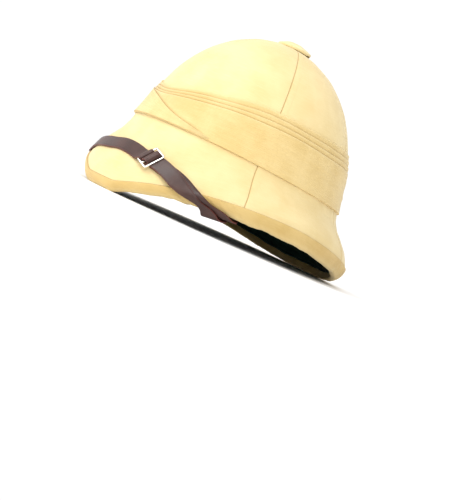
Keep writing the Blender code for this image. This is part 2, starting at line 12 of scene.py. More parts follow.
import bmesh
import bpy
import numpy as np
from mathutils import Matrix


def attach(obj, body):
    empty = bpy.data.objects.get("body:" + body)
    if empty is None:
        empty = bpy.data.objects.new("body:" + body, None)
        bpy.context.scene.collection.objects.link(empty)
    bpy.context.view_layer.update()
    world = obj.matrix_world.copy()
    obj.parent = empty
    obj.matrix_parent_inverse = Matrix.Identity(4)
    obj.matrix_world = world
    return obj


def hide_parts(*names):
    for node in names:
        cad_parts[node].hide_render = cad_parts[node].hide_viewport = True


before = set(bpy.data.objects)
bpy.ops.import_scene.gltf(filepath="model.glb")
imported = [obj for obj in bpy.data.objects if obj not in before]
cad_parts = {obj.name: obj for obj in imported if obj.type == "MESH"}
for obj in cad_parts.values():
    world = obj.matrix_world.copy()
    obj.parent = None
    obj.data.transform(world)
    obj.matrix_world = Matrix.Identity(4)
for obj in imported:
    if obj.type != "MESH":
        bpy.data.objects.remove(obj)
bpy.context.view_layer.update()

MM = 0.001
UP = np.array([0.0, 0.0, 1.0])

# Sizes of the crown and brim, as the solids have them
CROWN_HALF_LENGTH = 122 * MM
CROWN_HALF_WIDTH = 108 * MM
CROWN_HEIGHT = 138 * MM
CROWN_FLARE = 5 * MM
FLARE_HEIGHT = 30 * MM
FRONT_REACH = 160 * MM
REAR_REACH = 184 * MM
SIDE_REACH = 137 * MM
BRIM_SHIFT = 5 * MM
BRIM_ROUNDNESS = 1.85
BRIM_SWAY = 0.08
FRONT_DROP = 85 * MM
REAR_DROP = 69.5 * MM
SIDE_LIFT = 25 * MM
LIFT_PEAK = math.radians(75)
LEVEL_PEAK = math.radians(7.6)
LIFT_SOFT = 0.05
LIFT_POWER = 2.5
REST_SHARE = 0.03
REST_SOFT = 0.06  # the cloth's own: softens where the edge leaves the floor
LIP_HEIGHT = {"front": 9 * MM, "side": 15 * MM, "rear": 13 * MM}
LIP_TUCK = {"front": 3 * MM, "side": 4 * MM, "rear": 7 * MM}
LIP_CHAMFER = 1.6 * MM
LIP_BULGE = 0.25
SHELL_WALL = 5 * MM
BINDING_WALL = 1.2 * MM
LINING_WALL = 1 * MM
GAP = 0.3 * MM
EDGE_COVER = GAP + BINDING_WALL

# Thread spacing of plain cloth, and the wound cloth's across and down, drawn coarser than real
THREAD = 0.9 * MM
RIB = (5 * MM, 1.9 * MM)
# Mean radii that turn an angle into a width of cloth at the brim's edge and at the band
EDGE_RADIUS = 150 * MM
BAND_RADIUS = 120 * MM

# Puckers and longer folds of the turned edge: pitch round the brim and height, and its uneven hang
PUCKER_PITCH = 8.4 * MM
PUCKER_HEIGHT = 0.24
EDGE_FOLD_PITCH = 21 * MM
EDGE_FOLD_HEIGHT = 0.34
EDGE_SWAY = 0.55 * MM
EDGE_COLUMNS = 540
BAND_COLUMNS = 600

# Cloth panels of the cover and of the lining
COVER_PANELS = 6
COVER_SEAM_START = 0.0
COVER_MARKS = (0.22, 0.45, 0.8, 1.3, 2.2, 4, 6, 6.6, 7.2, 7.9, 10)
SEAM_GROOVE = 0.5 * MM
SEAM_WIDTH = 0.42 * MM
SEAM_FLAP = 0.14 * MM
FRONT_PANEL_COSINE = 0.9  # no seam where the angle's cosine is above this
FLAP_WIDTH = 6.8 * MM
LINING_PANELS = 18
LINING_SEAM_START = math.radians(7)
LINING_MARKS = (0.3, 0.6, 1.0, 1.5, 2.2, 3.2)
LINING_HEM_LEVELS = (1.95, 2.0, 2.2, 2.4, 2.55, 2.68, 2.72)
LINING_TUCK = 0.9 * MM
LINING_HANG = 0.7 * MM

# Pugaree, as the solids have it
PUGAREE_HEIGHT = 62 * MM
PUGAREE_LOW = math.radians(-8)  # where the band is lowest
PUGAREE_SOFT = 9  # degrees that round off its turn there
PUGAREE_ROWS = (
    # degrees from the front, top of the smooth band, top of the pleats, as shares of the height
    (0, 0.44, 0.58),
    (25, 0.53, 0.73),
    (50, 0.63, 0.88),
    (90, 0.68, 0.94),
    (140, 0.69, 0.99),
    (180, 0.69, 1.00),
)
# How far each layer of the cloth stands off the crown at its root and its lip, in millimetres
LAYER_ROWS = ((2.6, 2.8), (1.25, 2.45), (0.85, 2.05), (0.45, 1.65))
# How dark the painted shade just above the front fold's upper edge is
FOLD_PAINTED_SHADE = 0.9
# Degrees from the front, upper edge of the front fold as a share of the height
FOLD_ROWS = ((-34, 0.54), (-11, 0.37), (12, 0.15), (20, 0.10), (34, 0.03))
WRINKLE_ROWS = (
    # degrees and share of the height where it starts, where it ends, its height and half width in mm
    (8, 0.46, 70, 0.40, 0.55, 2.6),
    (-4, 0.36, 42, 0.25, 0.40, 2.4),
    (14, 0.24, 50, 0.33, -0.35, 2.2),
    (60, 0.50, 118, 0.46, 0.35, 3.0),
    (100, 0.22, 160, 0.30, 0.30, 4.0),
    (150, 0.48, 215, 0.40, 0.35, 3.2),
    (205, 0.25, 262, 0.34, 0.30, 3.6),
    (250, 0.50, 318, 0.44, 0.45, 2.8),
    (300, 0.30, 345, 0.24, 0.35, 2.6),
)

# Vent cap
CAP_RADIUS = 19 * MM
CAP_RISE = 3.4 * MM
CAP_EDGE = 1.8 * MM
COLLAR_RISE = 1.2 * MM
CAP_GAP_ANGLE = math.radians(132)
CAP_GAP_RISE = 1.7 * MM
CAP_PUFF = 2.2 * MM
CAP_COLUMNS = 120

# Chin strap, slide and loops, as the solids have them
STRAP_WIDTH = 16 * MM
STRAP_WALL = 1.8 * MM
SLIDE_WIRE = 2 * MM
SLIDE_LENGTH = 17 * MM
SLIDE_SIDE = 1.5 * MM
LOOP_SIDE = 1.8 * MM
BAR_CLEARANCE = 0.95 * MM
LOOP_POST = 2 * MM
LOOP_BAR = 4 * MM
LOOP_STANDOFF = 0.95 * MM
BAR_EASE = 0.15 * MM
CURL_DEGREES = (285, 250, 215, 180, 145, 110, 75, 40)
CURL_REACH = 3.9 * MM
CURL_RISE = 3.6 * MM
CURL_SHIFT = 1.4 * MM
TURN_DEGREES = (60, 20, -20, -60)
STRAP_LOOP_DEGREES = 66
STRAP_LOOP_WRAP = 3.72
SLIDE_DEGREES = 20.3
SLIDE_WRAP = 0.625
STRAP_GAP = 0.5 * MM
# How far the strap stands off the brim's edge: on the plain side, on the slide's side, its tail there
STRAP_EASE = 0.3 * MM
LOOSE_EASE = 1.4 * MM
TAIL_EASE = 2.6 * MM
STRAP_EDGE_ZONE = 24 * MM
STRAP_EASE_ZONE = 38 * MM
STRAP_STIFFNESS = 26  # rounds of evening out
STRAP_LEAN_LIMIT = 0.6
STRAP_SAMPLE = 1.6 * MM
# Degrees from the front, and wrap: 0 band plane outside, 1 the brim's crease, 2 the middle of the
# brim's edge underneath, 3 the crease inside, 4 band plane inside
AT_LOOP = (STRAP_LOOP_DEGREES, STRAP_LOOP_WRAP)
AT_SLIDE = (SLIDE_DEGREES, SLIDE_WRAP)
TAIL_ROWS = (
    AT_SLIDE, (26, 0.7), (32.5, 0.83), (38, 1.04), (43.5, 1.5), (49.5, 2.0), (58, 3.0), (63.5, 3.45),
    AT_LOOP,
)
STRAP_ROWS = (
    AT_LOOP, (63.5, 3.45), (60.5, 3.0), (54, 2.0), (47, 1.5), (40.6, 1.0), (35, 0.85), (28, 0.73),
    AT_SLIDE, (7, 0.505), (-7, 0.505), (-SLIDE_DEGREES, SLIDE_WRAP), (-32.5, 0.83), (-38, 1.04),
    (-43.5, 1.5), (-49.5, 2.0), (-58.5, 3.0), (-63.5, 3.45), (-STRAP_LOOP_DEGREES, STRAP_LOOP_WRAP),
)
STRAP_END_ROWS = ((-63.5, 3.45), (-60, 3.1))
# How the strap climbs over the slide's far bar, in millimetres: distance ahead of the slide's
# middle, and height of its middle above the brim
STRAP_RISE_ROWS = (
    (8, 1.4), (3.5, 1.4), (0, 1.4), (-2.2, 1.85), (-4.0, 3.4), (-5.2, 5.5),
    (-6.2, 7.0), (-7.6, 7.6), (-9.4, 7.0), (-12, 5.2), (-15.5, 3.2), (-20, 1.8),
)
BED_SPAN = 2.5 * MM
BED_TURN = 0.03

# Camera: where the photograph was taken from, and what it may be over a floor
CAMERA_AZIMUTH = math.radians(48)
CAMERA_HEIGHT = 34 * MM
CAMERA_DISTANCE = 1.1
PICTURE_ROLL = math.radians(26.3)
PICTURE_SIZE = (461, 500)
PICTURE_SCALE = 920
BAND_CENTRE_PIXEL = (237.5, 165.5)
SENSOR = 36.0

# Floor and lamps, in metres, watts and, for the key's spread, the angle that it fills
FLOOR_SIZE = 14
KEY_STRENGTH = 1.7
KEY_SPREAD = math.radians(40)
FILL_DISTANCE = 1.5
FILL_SIZE = 0.5
FILL_POWER = 7


def unit(vectors):
    return vectors / np.linalg.norm(vectors, axis=-1, keepdims=True)


def step(x, low, high):
    """Smooth rise from 0 at low to 1 at high."""
    t = np.clip((x - low) / (high - low), 0, 1)
    return t * t * (3 - 2 * t)


def all_round(count):
    """Angles at an even pitch once round, the last one short of the first."""
    return np.linspace(0, 2 * np.pi, count, endpoint=False)


def bell(x, width):
    """Bell curve, 1 at 0: e to the power of minus the square of x / width."""
    return np.exp(-((x / width) ** 2))


def rows_of(*millimetres):
    """Lengths in millimetres as rows of one column, in metres."""
    return np.array(millimetres)[:, None] * MM


def from_front(angles):
    """Degrees from the front, -180 to 180."""
    return np.degrees((angles + np.pi) % (2 * np.pi) - np.pi)


def ripple(angles, level, seed, waves=7, finest=9):
    """A smooth uneven field from -1 to 1: a mean of waves that close round the helmet."""
    rng = np.random.default_rng(seed)
    total = 0
    for _ in range(waves):
        turns = rng.integers(1, finest + 1)
        slope = rng.uniform(-finest, finest)
        total = total + np.sin(turns * angles + slope * level + rng.uniform(0, 2 * np.pi))
    return total / math.sqrt(waves)


def eased(rows, column, degrees):
    """Reads a column of a table at the given angles, on a smooth curve through its rows."""
    table = np.array(rows, float)
    where = np.clip(degrees, table[0, 0], table[-1, 0])
    slope = np.gradient(table[:, column], table[:, 0])
    k = np.clip(np.searchsorted(table[:, 0], where) - 1, 0, len(table) - 2)
    span = table[k + 1, 0] - table[k, 0]
    u = (where - table[k, 0]) / span
    rise = table[k + 1, column] - table[k, column]
    start = slope[k] * span
    end = slope[k + 1] * span
    bend = 3 * rise - 2 * start - end
    return table[k, column] + u * (start + u * (bend + u * (start + end - 2 * rise)))


def by_side(sizes, angles):
    """A size given at the front, sides and rear, eased between them by the squared cosine."""
    ahead = np.cos(angles)
    end = np.where(ahead > 0, sizes["front"], sizes["rear"])
    return sizes["side"] + (end - sizes["side"]) * ahead**2


def floor_height(y):
    """Height of the floor in the band frame, a plane that slopes from the peak to the rear."""
    share = (y + FRONT_REACH) / (FRONT_REACH + REAR_REACH)
    return -(FRONT_DROP + (REAR_DROP - FRONT_DROP) * share)


def side_lift(angles):
    """Arch of the brim's edge, nothing at both ends: a power curve that rises soon behind the peak,
    and a squared sine from there to the rear."""
    half = np.abs((angles + np.pi) % (2 * np.pi) - np.pi)
    beyond = np.clip((half - LEVEL_PEAK) / (LIFT_PEAK - LEVEL_PEAK), 0, 1)
    front_rise = 1 - (1 - beyond**2 / (beyond + LIFT_SOFT)) ** LIFT_POWER
    from_rear = (np.pi - half) / (np.pi - LIFT_PEAK)
    rise = np.where(half < LIFT_PEAK, front_rise, np.sin(from_rear * np.pi / 2) ** 2)
    above = np.maximum(rise - REST_SHARE, 0) / (1 - REST_SHARE)
    return SIDE_LIFT * above**2 * (1 + REST_SOFT) / (above + REST_SOFT)


def rim_plan(angles, inset):
    """Outline of the brim from above: an oval of two halves, drawn in by inset."""
    power = 2 / BRIM_ROUNDNESS
    across = np.sin(angles)
    along = np.cos(angles)
    length = np.where(along > 0, FRONT_REACH + BRIM_SHIFT, REAR_REACH - BRIM_SHIFT) - inset
    x = (SIDE_REACH - inset) * np.sign(across) * np.abs(across) ** power
    y = BRIM_SHIFT - length * np.sign(along) * np.abs(along) ** power
    return x, y


def crown_point(angles, height):
    """The crown's outer face: half an ellipsoid, flared out by a parabola above the brim."""
    share = np.sqrt(np.maximum(1 - (height / CROWN_HEIGHT) ** 2, 0))
    flare = CROWN_FLARE * np.maximum(1 - height / FLARE_HEIGHT, 0) ** 2
    x = (CROWN_HALF_WIDTH * share + flare) * np.sin(angles)
    y = -(CROWN_HALF_LENGTH * share + flare) * np.cos(angles)
    return np.stack([x, y, height + 0 * x], axis=-1)


def shell_face(angles, level):
    """The shell's outer face by angle and level: 0 the top, 1 the band plane, 2 the brim's crease
    and 3 its lowest line. The brim is a straight run with a small sine sway, and the turned edge
    below the crease is a parabola."""
    angles, level = np.broadcast_arrays(angles, level)
    crown = crown_point(angles, CROWN_HEIGHT * np.cos(np.clip(level, 0, 1) * np.pi / 2))
    tuck = by_side(LIP_TUCK, angles)
    x, y = rim_plan(angles, EDGE_COVER)
    low_x, low_y = rim_plan(angles, EDGE_COVER + tuck)
    low_z = floor_height(low_y) + side_lift(angles) + EDGE_COVER
    crease = np.stack([x, y, low_z + by_side(LIP_HEIGHT, angles) - EDGE_COVER], axis=-1)
    low = np.stack([low_x, low_y, low_z], axis=-1)
    share = np.clip(level - 1, 0, 1)[..., None]
    base = crown_point(angles, 0)
    brim = base + (crease - base) * (share - BRIM_SWAY * np.sin(2 * np.pi * share))
    brim[..., 2] = crease[..., 2] * share[..., 0]
    fall = np.clip(level - 2, 0, 1)[..., None]
    bulge = unit((crease - low) * [1, 1, 0]) * (tuck[..., None] * LIP_BULGE * 4 * fall * (1 - fall))
    lip = crease + (low - crease) * fall + bulge
    over_brim = level[..., None] > 1
    over_lip = level[..., None] > 2
    return np.where(over_lip, lip, np.where(over_brim, brim, crown))


def facing(grid, around=True):
    """Unit normals of a grid: the cross product of its way down and its way round."""
    down = np.gradient(grid, axis=0)
    if around:
        across = np.roll(grid, -1, axis=1) - np.roll(grid, 1, axis=1)
    else:
        across = np.gradient(grid, axis=1)
    return unit(np.cross(down, across))


def placement():
    """The turn and shift that stand the helmet on the floor over the origin."""
    tilt = math.atan2(FRONT_DROP - REAR_DROP, FRONT_REACH + REAR_REACH)
    turn = np.array(Matrix.Rotation(-tilt, 3, "X"))
    ends = np.array([0.0, np.pi])
    x, y = rim_plan(ends, 0)
    low = floor_height(y) + side_lift(ends) + by_side(LIP_HEIGHT, ends)
    stood = np.column_stack([x, y, low]) @ turn.T
    floor = turn @ [0, 0, float(floor_height(0.0))]
    return turn, np.array([0, -stood[:, 1].mean(), -floor[2]])


TURN, SHIFT = placement()


def in_row(points):
    return np.asarray(points) @ TURN.T + SHIFT


def low_corner(low, normal, outward):
    """The shell's lowest line moved outward and kept level with the floor."""
    ring = low + unit(normal * [1, 1, 0]) * outward
    ring[..., 2] += floor_height(ring[..., 1]) - floor_height(low[..., 1])
    return ring


def girth(level):
    """Mean radius of the shell at a level, to turn widths of cloth into angles."""
    quarter = np.array([0, np.pi / 2, np.pi, 3 * np.pi / 2])
    grid = shell_face(quarter[None], np.asarray(level)[:, None])
    return np.linalg.norm(grid[..., :2], axis=-1).mean(axis=1)


def panel_angles(level, panels, start, marks, between):
    """Column angles of a panelled cloth, a row for each level.

    Beside a seam the columns stand at fixed widths from it, and between the seams they are even.
    """
    pitch = 2 * np.pi / panels
    widths = np.array([0, *marks]) * MM
    radius = np.maximum(girth(level), widths[-1] / (0.4 * pitch))[:, None]
    near = widths[None] / radius
    inner = near[:, -1:] + (pitch - 2 * near[:, -1:]) * np.linspace(0, 1, between + 2)[None, 1:-1]
    one = np.hstack([near, inner, (pitch - near[:, :0:-1])])
    shift = start + pitch * np.arange(panels)
    return (shift[None, :, None] + one[:, None, :]).reshape(len(radius), -1), radius


def from_seam(angles, radius, panels, start):
    """Signed width from the nearest seam, positive on the side that the angle grows to."""
    pitch = 2 * np.pi / panels
    return ((angles - start + pitch / 2) % pitch - pitch / 2) * radius


def lay_cloth(name, grid, across, down, surface, panel=0.0, around=True, section=True, marks_and_painted_light=None):
    """A piece from a grid of points in the band frame, with cloth coordinates in metres.

    across and down have one more column or row than the grid where it closes, and panel is taken
    off across for the whole face, so that the weave starts anew in each panel.
    """
    rows, cols = grid.shape[:2]
    i, j = np.meshgrid(
        np.arange(rows if section else rows - 1),
        np.arange(cols if around else cols - 1),
        indexing="ij",
    )
    corners = [(i, j), (i + 1, j), (i + 1, j + 1), (i, j + 1)]
    faces = np.stack([(a % rows) * cols + b % cols for a, b in corners], axis=-1).reshape(-1, 4)
    mesh = bpy.data.meshes.new(name)
    mesh.from_pydata(in_row(grid.reshape(-1, 3)), [], faces.tolist())
    middle = np.broadcast_to(panel, i.shape)
    places = [np.stack([across[a, b] - middle, down[a, b]], axis=-1) for a, b in corners]
    layer = mesh.uv_layers.new(name="cloth")
    layer.data.foreach_set("uv", np.stack(places, axis=2).reshape(-1))
    # Per-point mark for the materials: wear, redder cut edges, painted highlight and painted shade.
    if marks_and_painted_light is not None:
        mark = mesh.attributes.new("marks_and_painted_light", "FLOAT", "POINT")
        values = np.broadcast_to(marks_and_painted_light, (rows, cols)).astype(np.float32)
        mark.data.foreach_set("value", values.reshape(-1))
    return finish_piece(name, mesh, surface, capped=section and not around)


def linked(name, data):
    """An object in the scene that shows the data."""
    made = bpy.data.objects.new(name, data)
    bpy.context.scene.collection.objects.link(made)
    return made


def finish_piece(name, mesh, surface, capped=False):
    """Welds a mesh, closes its two open ends if it has any, and links it as a piece on the root."""
    bm = bmesh.new()
    bm.from_mesh(mesh)
    bmesh.ops.remove_doubles(bm, verts=bm.verts, dist=0.002 * MM)
    if capped:
        bmesh.ops.holes_fill(bm, edges=[e for e in bm.edges if e.is_boundary], sides=0)
        bmesh.ops.recalc_face_normals(bm, faces=bm.faces)
    bm.to_mesh(mesh)
    bm.free()
    mesh.shade_smooth()
    mesh.set_sharp_from_angle(angle=math.radians(50))
    mesh.materials.append(surface)
    piece = linked(name, mesh)
    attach(piece, "root")
    return piece


def cloth_run(grid, closed):
    """Length down the middle column of a grid, a row for each of its rows."""
    steps = np.linalg.norm(np.diff(grid[:, grid.shape[1] // 2], axis=0), axis=-1)
    length = np.concatenate([[0], np.cumsum(steps)])
    if closed:
        length = np.append(length, length[-1] + np.linalg.norm(grid[-1, 0] - grid[0, 0]))
    return length


def chart(angles, radius, length):
    """Cloth coordinates of a ring: angle times radius across, and length down."""
    last = np.hstack([angles, angles[:, :1] + 2 * np.pi])
    rows = len(length)
    last = np.vstack([last, last[:1]])[:rows]
    across = last * np.broadcast_to(np.vstack([radius, radius[:1]])[:rows], last.shape)
    return across, np.broadcast_to(length[:, None], across.shape)


def panel_middles(angles, radius, panels, start, rows, wide_front=False):
    """For each face, the cloth coordinate of its panel's middle. A wide front has no seam at 0."""
    pitch = 2 * np.pi / panels
    last = np.hstack([angles, angles[:, :1] + 2 * np.pi])
    centre = (last[:, :-1] + last[:, 1:]) / 2
    middle = start + (np.floor((centre - start) / pitch) + 0.5) * pitch
    if wide_front:
        middle = np.where(np.cos(middle) > 0.5, 2 * np.pi * np.round(middle / (2 * np.pi)), middle)
    return middle[:rows] * radius[:rows]


def backed(face, back, angles, radius):
    """A face joined to a coarser back as one ring of rows, with the angles and radii of the rows."""
    keep = np.unique(np.append(np.arange(0, len(face), 5), len(face) - 1))[::-1]
    return [np.concatenate([a, b[keep]]) for a, b in ((face, back), (angles, angles), (radius, radius))]


def make_cover(surface):
    """Khaki cloth over the shell: a wide front panel and four more, with a groove and a turned flap
    at each seam, and a row of top stitching beside the rear ones."""
    runs = ((0.056, 1, 46), (1, 2, 38), (2, 3, 7))
    outer = np.unique(np.concatenate([np.linspace(*run) for run in runs]))
    angles, radius = panel_angles(outer, COVER_PANELS, COVER_SEAM_START, COVER_MARKS, 20)
    level = outer[:, None]
    plain = shell_face(angles, level)
    normal = facing(plain)
    away = from_seam(angles, radius, COVER_PANELS, COVER_SEAM_START)
    groove = -SEAM_GROOVE * bell(away, SEAM_WIDTH)
    beyond_flap = step(away, FLAP_WIDTH - 0.6 * MM, FLAP_WIDTH + 0.4 * MM)
    flap = SEAM_FLAP * step(away, 0, 0.6 * MM) * (1 - beyond_flap)
    stitched = step(-np.cos(angles), 0, 0.1)
    topstitch = -0.25 * MM * stitched * bell(away - FLAP_WIDTH, 0.4 * MM)
    drawn = 0.05 * MM * np.sin(level * 88) * np.exp(-np.abs(away) / (6 * MM))
    sewn = np.cos(angles) < FRONT_PANEL_COSINE
    uneven = 0.16 * MM * ripple(angles, level * 6, 3, waves=9, finest=11)
    fade = 1 - step(level, 1.98, 2.0)
    face = plain + normal * (((groove + flap + topstitch + drawn) * sewn + uneven) * fade)[..., None]
    back = plain - normal * SHELL_WALL
    back[-1] = low_corner(plain[-1], normal[-1], -SHELL_WALL)
    grid, all_angles, all_radius = backed(face, back, angles, radius)
    across, down = chart(all_angles, all_radius, cloth_run(grid, True))
    middles = panel_middles(all_angles, all_radius, COVER_PANELS, COVER_SEAM_START, len(grid), True)
    # Painted shade: darker along the seam grooves and the top stitching, and on the crown under the
    # vent cap, where shadow falls.
    painted_shade = -(bell(away, 0.55 * MM) + 2 * topstitch / (-1 * MM)) * sewn * fade
    painted_shade = painted_shade - (1 - step(radius, CAP_RADIUS - 5 * MM, CAP_RADIUS - 1.5 * MM)) * (level < 1)
    marks_and_painted_light = np.concatenate([painted_shade, np.zeros((len(grid) - len(face), face.shape[1]))])
    piece = lay_cloth("cover", grid, across, down, surface, panel=middles, marks_and_painted_light=marks_and_painted_light)
    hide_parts("helmet_shell")


def cut_corners(rows, times=2):
    """Rounds an open run of rings by cutting each corner a quarter of the way in, several times."""
    for _ in range(times):
        near = rows[:-1] * 0.75 + rows[1:] * 0.25
        far = rows[:-1] * 0.25 + rows[1:] * 0.75
        woven = np.stack([near, far], axis=1).reshape(-1, *rows.shape[1:])
        rows = np.concatenate([rows[:1], woven[1:-1], rows[-1:]])
    return rows


def edge_rings(angles, over=0.0):
    """The turned edge's outside face, from just above the crease round to the crease inside, with
    its inner side moved in by over."""
    level = np.linspace(1.9, 3, 111)[:, None]
    plain = shell_face(angles[None], level)
    normal = facing(plain)

    def at(place, offset):
        k = int(round((place - 1.9) * 100))
        return plain[k] + normal[k] * offset

    inside = -SHELL_WALL - EDGE_COVER - over
    low, turn = plain[-1], normal[-1]
    drop = UP * EDGE_COVER
    rise = UP * LIP_CHAMFER
    crease = at(2.0, inside)
    up_lining = unit(at(1.95, inside) - crease)
    border = crease + up_lining * 0.3 * MM
    return np.array(
        [
            at(1.98, 0.1 * MM),
            at(1.985, 0.95 * MM),
            at(2.0, 1.45 * MM),
            at(2.25, EDGE_COVER),
            at(2.5, EDGE_COVER),
            at(2.75, EDGE_COVER),
            low_corner(low, turn, EDGE_COVER) - drop + rise,
            low_corner(low, turn, EDGE_COVER - LIP_CHAMFER) - drop,
            low_corner(low, turn, inside + LIP_CHAMFER) - drop,
            low_corner(low, turn, inside) - drop + rise,
            at(2.5, inside),
            crease,
            border - normal[10] * 0.25 * MM,
            border + up_lining * 1.1 * MM + normal[10] * 0.15 * MM,
        ]
    )


def make_edge(surface):
    """Bias cloth turned over the brim's edge and puckered in slanting waves."""
    angles = all_round(EDGE_COLUMNS)
    outside = cut_corners(edge_rings(angles))
    turns = angles[None] * np.ones((len(outside), 1))
    normal = facing(outside)
    length = cloth_run(outside, False)
    slant = length[:, None]
    arc = turns * EDGE_RADIUS
    gather = 0.5 + 0.5 * ripple(turns, 0, 21, waves=6, finest=13)
    short_drift = 1.6 * ripple(turns, 0, 5, waves=5, finest=17)
    long_drift = 2.2 * ripple(turns, 0, 8, waves=5, finest=9)
    pucker = np.sin(2 * np.pi * (arc - slant * 1.3) / PUCKER_PITCH + short_drift)
    fold = np.sin(2 * np.pi * (arc - slant * 1.1) / EDGE_FOLD_PITCH + long_drift)
    shown = step(slant, 1.2 * MM, 4 * MM) * (1 - step(slant, length[-1] - 3 * MM, length[-1] - 1 * MM))
    relief = (pucker * PUCKER_HEIGHT + fold * EDGE_FOLD_HEIGHT) * MM * gather * shown
    face = outside + normal * relief[..., None]
    sway = EDGE_SWAY * (1 + ripple(turns, 0, 31, waves=8, finest=30)) * (1 - np.cos(turns) ** 8)
    face = face + UP * (sway * shown)[..., None]
    face[..., 2] = np.maximum(face[..., 2], floor_height(face[..., 1]))
    hidden = [
        outside[-1] + normal[-1] * -0.3 * MM,
        outside[-4] - normal[-4] * 0.9 * MM,
        outside[len(outside) * 3 // 4] - normal[len(outside) * 3 // 4] * BINDING_WALL,
        outside[len(outside) // 2] + UP * BINDING_WALL,
        outside[len(outside) // 4] - normal[len(outside) // 4] * BINDING_WALL,
        outside[1] - normal[1] * 0.4 * MM,
    ]
    grid = np.concatenate([face, np.array(hidden)])
    all_turns = np.broadcast_to(angles, grid.shape[:2])
    across, down = chart(all_turns, np.full((len(grid), 1), EDGE_RADIUS), cloth_run(grid, True))
    rubbed = 0.7 * step(length, 10 * MM, 17 * MM) * (1 - step(length, 21 * MM, 27 * MM))
    # Painted shade: a dark line along the crease at the top, and darker at the inner end where the
    # cloth goes under the lining.
    edge_painted_shade = bell(length - 0.2 * MM, 0.9 * MM)
    edge_painted_shade = edge_painted_shade + 0.7 * step(length, length[-1] - 1.6 * MM, length[-1])
    marks_and_painted_light = np.concatenate([rubbed - edge_painted_shade, np.zeros(len(hidden))])
    piece = lay_cloth("turned_edge", grid, across, down, surface, marks_and_painted_light=marks_and_painted_light[:, None])
    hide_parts("brim_binding")
    return angles, cut_corners(edge_rings(angles, GAP + LINING_WALL))


def make_lining(surface):
    """Green cotton inside the crown and brim, in panels that hang a little between tucked seams.

    It comes down inside the turned edge to an uneven hem a little above the edge's underside."""
    levels = np.concatenate([np.linspace(0.075, 1, 42), np.linspace(1, 1.9, 29)[1:], LINING_HEM_LEVELS])
    angles, radius = panel_angles(levels, LINING_PANELS, LINING_SEAM_START, LINING_MARKS, 6)
    hem = 0.05 * ripple(angles, 0, 11, waves=9, finest=34)
    level = levels[:, None] + hem * step(levels, 2.3, 2.7)[:, None]
    plain = shell_face(angles, level)
    normal = facing(plain)
    away = from_seam(angles, radius, LINING_PANELS, LINING_SEAM_START)
    half = radius * np.pi / LINING_PANELS
    hang = LINING_HANG * (1 - (1 - np.abs(away) / half) ** 2) * step(radius, 15 * MM, 60 * MM)
    tuck = LINING_TUCK * bell(away - 0.8 * MM, 0.55 * MM)
    pinch = -0.5 * MM * bell(away + 0.3 * MM, 0.5 * MM)
    uneven = 0.3 * MM * ripple(angles, level * 5, 41, waves=9, finest=14)
    inset = (SHELL_WALL + GAP + EDGE_COVER * step(level, 1.88, 1.95))[..., None]
    held = step(level, 0.08, 0.2) * (1 - 0.55 * step(level, 1.85, 1.95)) * (1 - step(level, 2.6, 2.75))
    stand = (hang + tuck + pinch + uneven) * held
    face = plain - normal * (inset + LINING_WALL + stand[..., None])
    back = plain - normal * inset
    grid, all_angles, all_radius = (rows[::-1] for rows in backed(face, back, angles, radius))
    across, down = chart(all_angles, all_radius, cloth_run(grid, True))
    middles = panel_middles(all_angles, all_radius, LINING_PANELS, LINING_SEAM_START, len(grid))
    piece = lay_cloth("lining_cloth", grid, across, down, surface, panel=middles)
    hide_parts("lining")


def off_crown(angles, height, distance):
    """Points at a distance outside the crown's face, along the cross product of its tangents."""
    small = 0.1 * MM
    across = crown_point(angles + 0.001, height) - crown_point(angles - 0.001, height)
    upward = crown_point(angles, height + small) - crown_point(angles, height - small)
    outward = unit(np.cross(across, upward))
    return crown_point(angles, height) + outward * np.asarray(distance)[..., None]


def off_crown_rows(angles, heights, stands):
    """A grid outside the crown from blocks of rows given from the bottom up. Its top row is first."""
    height = np.concatenate(heights)
    turns = np.broadcast_to(angles, height.shape)
    return turns, off_crown(turns, height, np.concatenate(stands))[::-1]


def wrinkles(angles, share):
    """Soft ridges across the wound cloth: bell curves along lines that fade in and out."""
    total = np.zeros(np.broadcast_shapes(np.shape(angles), np.shape(share)))
    degrees = np.degrees(angles)
    for start, low, end, high, tall, wide in WRINKLE_ROWS:
        for turn in (0, 360):
            along = (degrees - start + turn) / (end - start)
            line = low + (high - low) * along + 0.012 * np.sin(along * 7 + start)
            ridge = bell((share - line) * PUGAREE_HEIGHT, wide * MM)
            total = total + tall * MM * ridge * step(along, 0, 0.3) * (1 - step(along, 0.65, 1))
    return total


def layer_rows(low, high, root, lip, count):
    """Heights and stand-off of one layer, from behind the lip below it up over its own folded lip."""
    q = np.linspace(0, 1, count) ** 0.85
    height = low + (high - low) * q[:, None]
    stand = root + (lip - root) * q[:, None] ** 0.6
    fold_up = rows_of(0.22, 0.32, 0.2, -0.35)
    fold_in = rows_of(-0.12, -0.5, -0.95, -1.1)
    stands = [stand + 0 * height, lip + fold_in + 0 * height[:4]]
    return np.concatenate([height, high + fold_up]), np.concatenate(stands)


